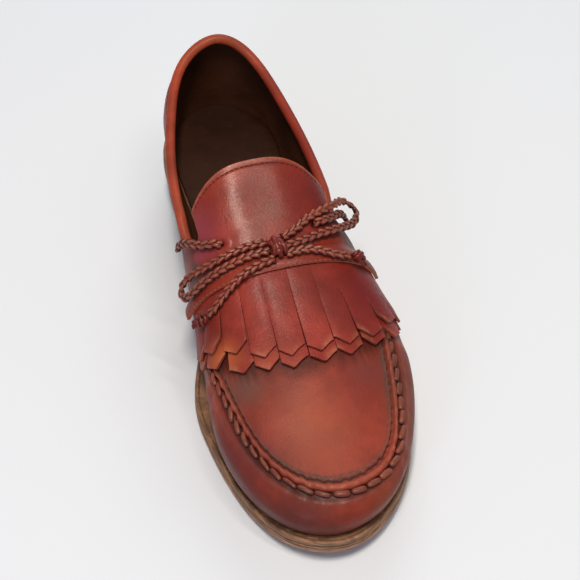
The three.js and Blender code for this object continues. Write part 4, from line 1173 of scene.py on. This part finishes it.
def make_fringe():
    """Two layers of leather strips with pointed ends, each strip curled its own way."""
    turn_per_mm = 1 / (0.65 * BALL_WIDTH)
    for name, node, tips, lift in (("fringe_under", "kiltie_under", LOWER_TIPS, FRINGE_LIFT),
                                   ("fringe_top", "kiltie_top", UPPER_TIPS, LAYER_LIFT)):
        turns = [tip[0] for tip in tips]
        borders = ([turns[0] - FRINGE_SIDE] + [(a + b) / 2 for a, b in zip(turns, turns[1:])]
                   + [turns[-1] + FRINGE_SIDE])
        point_length = FRINGE_POINT / SOLE_LENGTH
        whole = [tip[1] - point_length for tip in tips]
        bm = bmesh.new()
        for i, (turn, tip, curl) in enumerate(tips):
            down = np.linspace(0, 1, 30)[:, None]
            over = np.linspace(-1, 1, 13)[None]
            starts = [np.interp(border, SLIT_PLACES, SLIT_STARTS) for border in borders[i:i + 2]]
            slits = [ease(start, start + 0.16, down) for start in starts]
            slit = np.minimum(*slits)
            gap = turn_per_mm * blend(0.05, 0.24, down ** 1.4)
            left, right = borders[i] + gap * slits[0], borders[i + 1] - gap * slits[1]
            place = blend(left, right, (over + 1) / 2)
            uncut = np.interp(place, turns, whole)
            place = place * blend(ROOT_SPREAD, 1, down)
            skew = 0.12 * jitter(i, lift)
            point = 1 - np.clip(np.abs(over - skew), 0, 1)
            end = blend(tip - point_length, tip, np.minimum(1, point * 1.04))
            along = blend(FRINGE_ROOT, blend(uncut, end, slit), down)
            crown = 0.28 * (1 - over ** 2) - 0.12 * np.abs(over) ** 6
            tilt = 0.28 * over * jitter(i, lift + 3) * down ** 2
            curl = curl * (1 - 0.8 * ease(0.6, 0.8, abs(turn)))
            height = lift + CURL * blend(1, curl, slit) * 0.72 * down ** 3 + slit * (crown + tilt) + 0.16
            rim = ease(0.9, 1, down) * ease(0.2, 0.9, 0.5 + 0.5 * np.sin(3 * over + 5 * i))
            # Painted shade along the strips' roots under the saddle's edge; the tips are tagged pale where rubbed.
            add_grid(bm, over_instep(along, place, height), flip=True, tags={
                "wear_and_highlight": 0.75 * rim * (0.6 + 0.4 * jitter(i, 9)), "shadow": 0.55 * (1 - ease(0.0, 0.05, down))})
        made = piece(name, bm, ["fringe_leather", "cut_edge"], [node], closed=False)
        thickened(made, FRINGE_THICKNESS)


def route_frame(route):
    """A lace's smooth path over the instep, then its side and up directions."""
    rough = np.array([over_instep(along, turn, lift) for along, turn, lift in route])
    path = smooth_path(rough, 0.6)
    ups = np.array([off_instep(along, turn) for along, turn, _ in route])
    lengths = arc_lengths(rough)
    up = along_path(np.linspace(0, lengths[-1], len(path)), lengths, ups)
    return path, *square_to(unit(np.gradient(path, axis=0)), up)


# How much longer a strand stays on top of the plait than beneath it.
BRAID_LAG = 0.36


def add_braid(bm, path, side, up):
    """Three plump strands plaited along a path, with painted shade where they dive under each other and along their
    sides, and a painted highlight on their crests.
    """
    pitch = sizes().braid_pitch * 1000
    half = sizes().lace_width * 500
    lengths = arc_lengths(path)
    swing, rise = 0.6 * half, 0.62
    for strand in range(3):
        even = 2 * math.pi * (lengths / pitch + strand / 3)
        turn = even + BRAID_LAG * (np.cos(2 * even) - 1)
        level = np.sin(2 * turn)
        line = path + side * (swing * np.sin(turn))[:, None] + up * (rise * level)[:, None]
        directions = square_to(unit(np.gradient(line, axis=0)), up + side * (0.6 * np.sin(turn))[:, None])
        shape = 0.9 + 0.16 * level
        level = doubled_ends(level)[:, None]
        # Painted shade under the crossings and along the strands' sides; painted highlight on their crests.
        rim = np.abs(np.cos(np.linspace(0, 2 * math.pi, 13)))[None] ** 4
        add_tube(bm, line, directions, 0.45 * half * shape, 0.8 * shape, 12,
                 {"shadow": np.maximum(1 - ease(-0.5, 0.4, level), 0.95 * rim),
                  "wear_and_highlight": 0.5 * ease(0.3, 1, level) * (1 - rim) ** 3})


def add_wraps(bm, centre, axis, up, radius_side, radius_up, count, spread, strand=1.05, tilt=0.18, thick=0.75):
    """Turns of lace wound round a knot: loops about its axis, spread along it."""
    side = unit(np.cross(up, axis))
    angle = np.linspace(0, 2 * math.pi, 33)[:, None]
    for i in range(count):
        share = (i - (count - 1) / 2) / max(1, (count - 1) / 2)
        lean = tilt * jitter(i, centre[0])
        belly = math.sqrt(1 - 0.45 * share ** 2)
        line = (centre + axis * share * spread + side * np.cos(angle) * radius_side * belly
                + up * np.sin(angle) * radius_up * belly + axis * np.sin(angle + i) * lean * radius_side)
        out = unit(side * np.cos(angle) / radius_side + up * np.sin(angle) / radius_up)
        heading = unit(np.gradient(line, axis=0))
        heading[0] = heading[-1] = unit(heading[0] + heading[-1])
        add_tube(bm, line, square_to(heading, out), strand, thick)


# How many points make_bow takes along each lace's path.
ROUTE_POINTS = 30


def braided(name, routes, replaces):
    """A braided piece along its routes, and the path of the last one."""
    bm = bmesh.new()
    for route in routes:
        path, side, up = route_frame(route)
        add_braid(bm, path, side, up)
    return piece(name, bm, ["lace_leather"], replaces, weld=1e-7), path


def make_bow_knot():
    knot_centre = over_instep(*BOW_KNOT)
    up = off_instep(*BOW_KNOT[:2])
    across, back = np.eye(3)[:2]
    bm = bmesh.new()
    add_wraps(bm, knot_centre, across, up, 5.3, 3.1, 3, 2.2, 1.3, 0.3, 0.9)
    add_wraps(bm, knot_centre, unit(across + back * 0.6), up, 4.4, 2.5, 2, 3.6, 1.2, 0.2, 0.8)
    angle = np.linspace(0, math.pi, 9)[:, None]
    core = knot_centre + back * np.cos(angle) * 5.4
    add_tube(bm, core, (np.tile(across, (9, 1)), np.tile(up, (9, 1))), 2.8 * np.sin(angle[:, 0]) + 0.3,
             2.7 * np.sin(angle[:, 0]) + 0.3, 12)
    return piece("bow_knot", bm, ["lace_leather"], ["lace_knot"])


def make_end_knot(name, spot, way, reach):
    """A small knot near a lace's end, with the strands' tails beyond it."""
    centre = over_instep(*spot)
    heading = unit(np.array(way))
    side, up = square_to(heading, off_instep(*spot[:2]))
    bm = bmesh.new()
    add_wraps(bm, centre, heading, up, 3.0, 2.5, 3, 1.9, 1.05, 0.35)
    add_wraps(bm, centre, unit(heading + side * 1.1), up, 2.5, 2.2, 1, 0, 0.9, 0.2)
    run = np.linspace(0, 1, 9)[:, None]
    for i in range(4):
        spread = (i - 1.5) / 1.5
        tail = (centre + heading * (1.5 + (reach + 0.8 * jitter(i, 2)) * run) + side * spread * (1.1 + 0.5 * run)
                + up * (0.7 * jitter(i, centre[0]) * run - 0.6 * run ** 2))
        add_tube(bm, tail, (np.tile(side, (9, 1)), np.tile(up, (9, 1))),
                 np.linspace(1.1, 0.85, 9), np.linspace(0.8, 0.6, 9))
    return piece("lace_knot_" + name, bm, ["lace_leather"], ["end_knot_" + name])


def make_bow():
    """The braided bow: its knot, two loops, two ends with their knots, and the bars through the tongue."""
    knot = make_bow_knot()
    cords = {}
    for name, route in (("loop_medial", LACE_LOOP_MEDIAL), ("loop_lateral", LACE_LOOP_LATERAL),
                        ("end_medial", LACE_END_MEDIAL), ("end_lateral", LACE_END_LATERAL)):
        cords[name] = braided("lace_" + name + "_braid", [route], ["lace_" + name])
    medial = make_end_knot("medial", END_KNOT_MEDIAL, (-0.9, 0.1, -0.4), 4.5)
    lateral = make_end_knot("lateral", END_KNOT_LATERAL, (0.45, -0.75, -0.45), 5.2)

    for name, (made, path) in cords.items():
        placed = (path + (SHIFT, 0, 0)) / 1000
        route = placed[np.linspace(0, len(placed) - 1, ROUTE_POINTS).astype(int)]

    braided("lace_bars", (LACE_BAR_MEDIAL + (BAR_END_MEDIAL,), LACE_BAR_LATERAL + (BAR_END_LATERAL,)),
            ["lace_bar_medial", "lace_bar_lateral"])


# The view of the shoe: the camera stands here and looks along this line, rolled a little.
CAMERA_PLACE = (-0.1430, -0.5496, 0.7053)
CAMERA_AIM = (-0.0502, -0.0069, 0.04)
CAMERA_ROLL = -4.77
CAMERA_PIXELS = 1670.9
FRAME_PIXELS = 580
FRAME_MIDDLE = (394, 268)
SENSOR_WIDTH = 36

FLOOR_COLOR = (0.73, 0.785, 0.86, 1)
WORLD_COLOR = (0.93, 0.93, 0.93, 1)
WARM = (1.0, 0.89, 0.76)
# Name, place, size, watts and colour of the lamps; they all shine at the shoe.
LAMPS = (
    ("overhead", (-0.15, -0.36, 1.4), (0.13, 0.5), 12.5, WARM),
    ("second", (0.32, -0.34, 1.4), (0.05, 0.34), 2.4, WARM),
    ("third", (0.09, -0.1, 1.4), (0.05, 0.2), 1.2, WARM),
    ("violet fill", (-1.1, -1.3, 0.7), (0.35, 0.5), 4.5, (0.66, 0.68, 1.0)),
    ("window", (0.5, 1.3, 1.0), (0.9, 0.6), 8, (1.0, 0.98, 0.95)),
)
LAMPS_AIM = Vector((0, 0, 0.04))


def make_camera():
    place, aim = Vector(CAMERA_PLACE), Vector(CAMERA_AIM)
    ahead = (aim - place).normalized()
    right = ahead.cross(Vector((0, 0, 1))).normalized()
    upright = right.cross(ahead)
    roll = math.radians(CAMERA_ROLL)
    right, upright = (math.cos(roll) * right + math.sin(roll) * upright,
                      -math.sin(roll) * right + math.cos(roll) * upright)
    over, down = [(middle - FRAME_PIXELS / 2) / CAMERA_PIXELS for middle in FRAME_MIDDLE]
    ahead = (ahead + right * over - upright * down).normalized()
    right = ahead.cross(upright).normalized()
    upright = right.cross(ahead)
    data = bpy.data.cameras.new("camera")
    data.sensor_width = SENSOR_WIDTH
    data.lens = SENSOR_WIDTH * CAMERA_PIXELS / FRAME_PIXELS
    camera = put("camera", data)
    camera.matrix_world = Matrix.Translation(place) @ Matrix((right, upright, -ahead)).transposed().to_4x4()
    bpy.context.scene.camera = camera


def make_lamps():
    for name, spot, size, energy, color in LAMPS:
        lamp = bpy.data.lights.new(name, "AREA")
        lamp.shape = "RECTANGLE"
        lamp.size, lamp.size_y = size
        lamp.energy = energy
        lamp.color = color
        made = put(name, lamp)
        made.location = spot
        made.rotation_euler = (LAMPS_AIM - Vector(spot)).to_track_quat("-Z", "Y").to_euler()


def make_stage():
    """The camera, a pale floor and soft lights."""
    make_camera()
    bm = bmesh.new()
    bmesh.ops.create_grid(bm, x_segments=2, y_segments=2, size=3)
    mesh = mesh_of("floor", bm)
    mesh.materials.append(Finish("floor_paper").finish(Base_Color=FLOOR_COLOR, Roughness=0.9))
    floor = put("floor", mesh)
    make_lamps()
    scene = bpy.context.scene
    scene.view_settings.view_transform = "Standard"
    world = bpy.data.worlds.new("studio")
    world.use_nodes = True
    background = world.node_tree.nodes["Background"].inputs
    background["Color"].default_value = WORLD_COLOR
    background["Strength"].default_value = 0.3
    scene.world = world


class StageOperator(bpy.types.Operator):
    """Sets the floor, the lights and the camera"""
    bl_idname = "loafer.stage"
    bl_label = "Stage"

    def execute(self, context):
        make_stage()
        return {"FINISHED"}


class BowOperator(bpy.types.Operator):
    """Plaits the lace with its bow, ends and knots"""
    bl_idname = "loafer.bow"
    bl_label = "Braided bow"

    def execute(self, context):
        make_bow()
        return {"FINISHED"}


class SoleOperator(bpy.types.Operator):
    """Builds the outsole, welt, heel and top lift"""
    bl_idname = "loafer.soles"
    bl_label = "Sole and heel"

    def execute(self, context):
        make_soles()
        return {"FINISHED"}


class SockOperator(bpy.types.Operator):
    """Builds the sock lining"""
    bl_idname = "loafer.sock"
    bl_label = "Sock"

    def execute(self, context):
        make_sock()
        return {"FINISHED"}


class UpperOperator(bpy.types.Operator):
    """Builds the vamp, quarters, collar and lining"""
    bl_idname = "loafer.upper"
    bl_label = "Upper"

    def execute(self, context):
        make_upper()
        return {"FINISHED"}


class SeamOperator(bpy.types.Operator):
    """Lashes and stitches the seams of the upper"""
    bl_idname = "loafer.seam"
    bl_label = "Seams"

    def execute(self, context):
        make_seam()
        make_collar_stitches()
        make_welt_stitches()
        return {"FINISHED"}


class TongueOperator(bpy.types.Operator):
    """Builds the tongue with its stitching"""
    bl_idname = "loafer.tongue"
    bl_label = "Tongue"

    def execute(self, context):
        make_tongue()
        return {"FINISHED"}


class FringeOperator(bpy.types.Operator):
    """Cuts the two layers of the fringe"""
    bl_idname = "loafer.fringe"
    bl_label = "Fringe"

    def execute(self, context):
        make_fringe()
        return {"FINISHED"}


OPERATORS = (StageOperator, BowOperator, SoleOperator, SockOperator, UpperOperator, SeamOperator, TongueOperator,
             FringeOperator)


class LoaferPanel(bpy.types.Panel):
    """The shoe's sizes, colours and pieces"""
    bl_label = "Kiltie loafer"
    bl_idname = "VIEW3D_PT_kiltie_loafer"
    bl_space_type = "VIEW_3D"
    bl_region_type = "UI"
    bl_category = "Loafer"

    def draw(self, context):
        for name in ShoeSizes.__annotations__:
            self.layout.prop(context.scene.kiltie_loafer, name)
        for operator in OPERATORS:
            self.layout.operator(operator.bl_idname)


def register():
    for made in (ShoeSizes, *OPERATORS, LoaferPanel):
        bpy.utils.register_class(made)
    bpy.types.Scene.kiltie_loafer = bpy.props.PointerProperty(type=ShoeSizes)


def unregister():
    del bpy.types.Scene.kiltie_loafer
    for made in (LoaferPanel, *reversed(OPERATORS), ShoeSizes):
        bpy.utils.unregister_class(made)


def main():
    register()
    for operator in OPERATORS:
        group, name = operator.bl_idname.split(".")
        getattr(getattr(bpy.ops, group), name)()


if __name__ == "__main__":
    main()
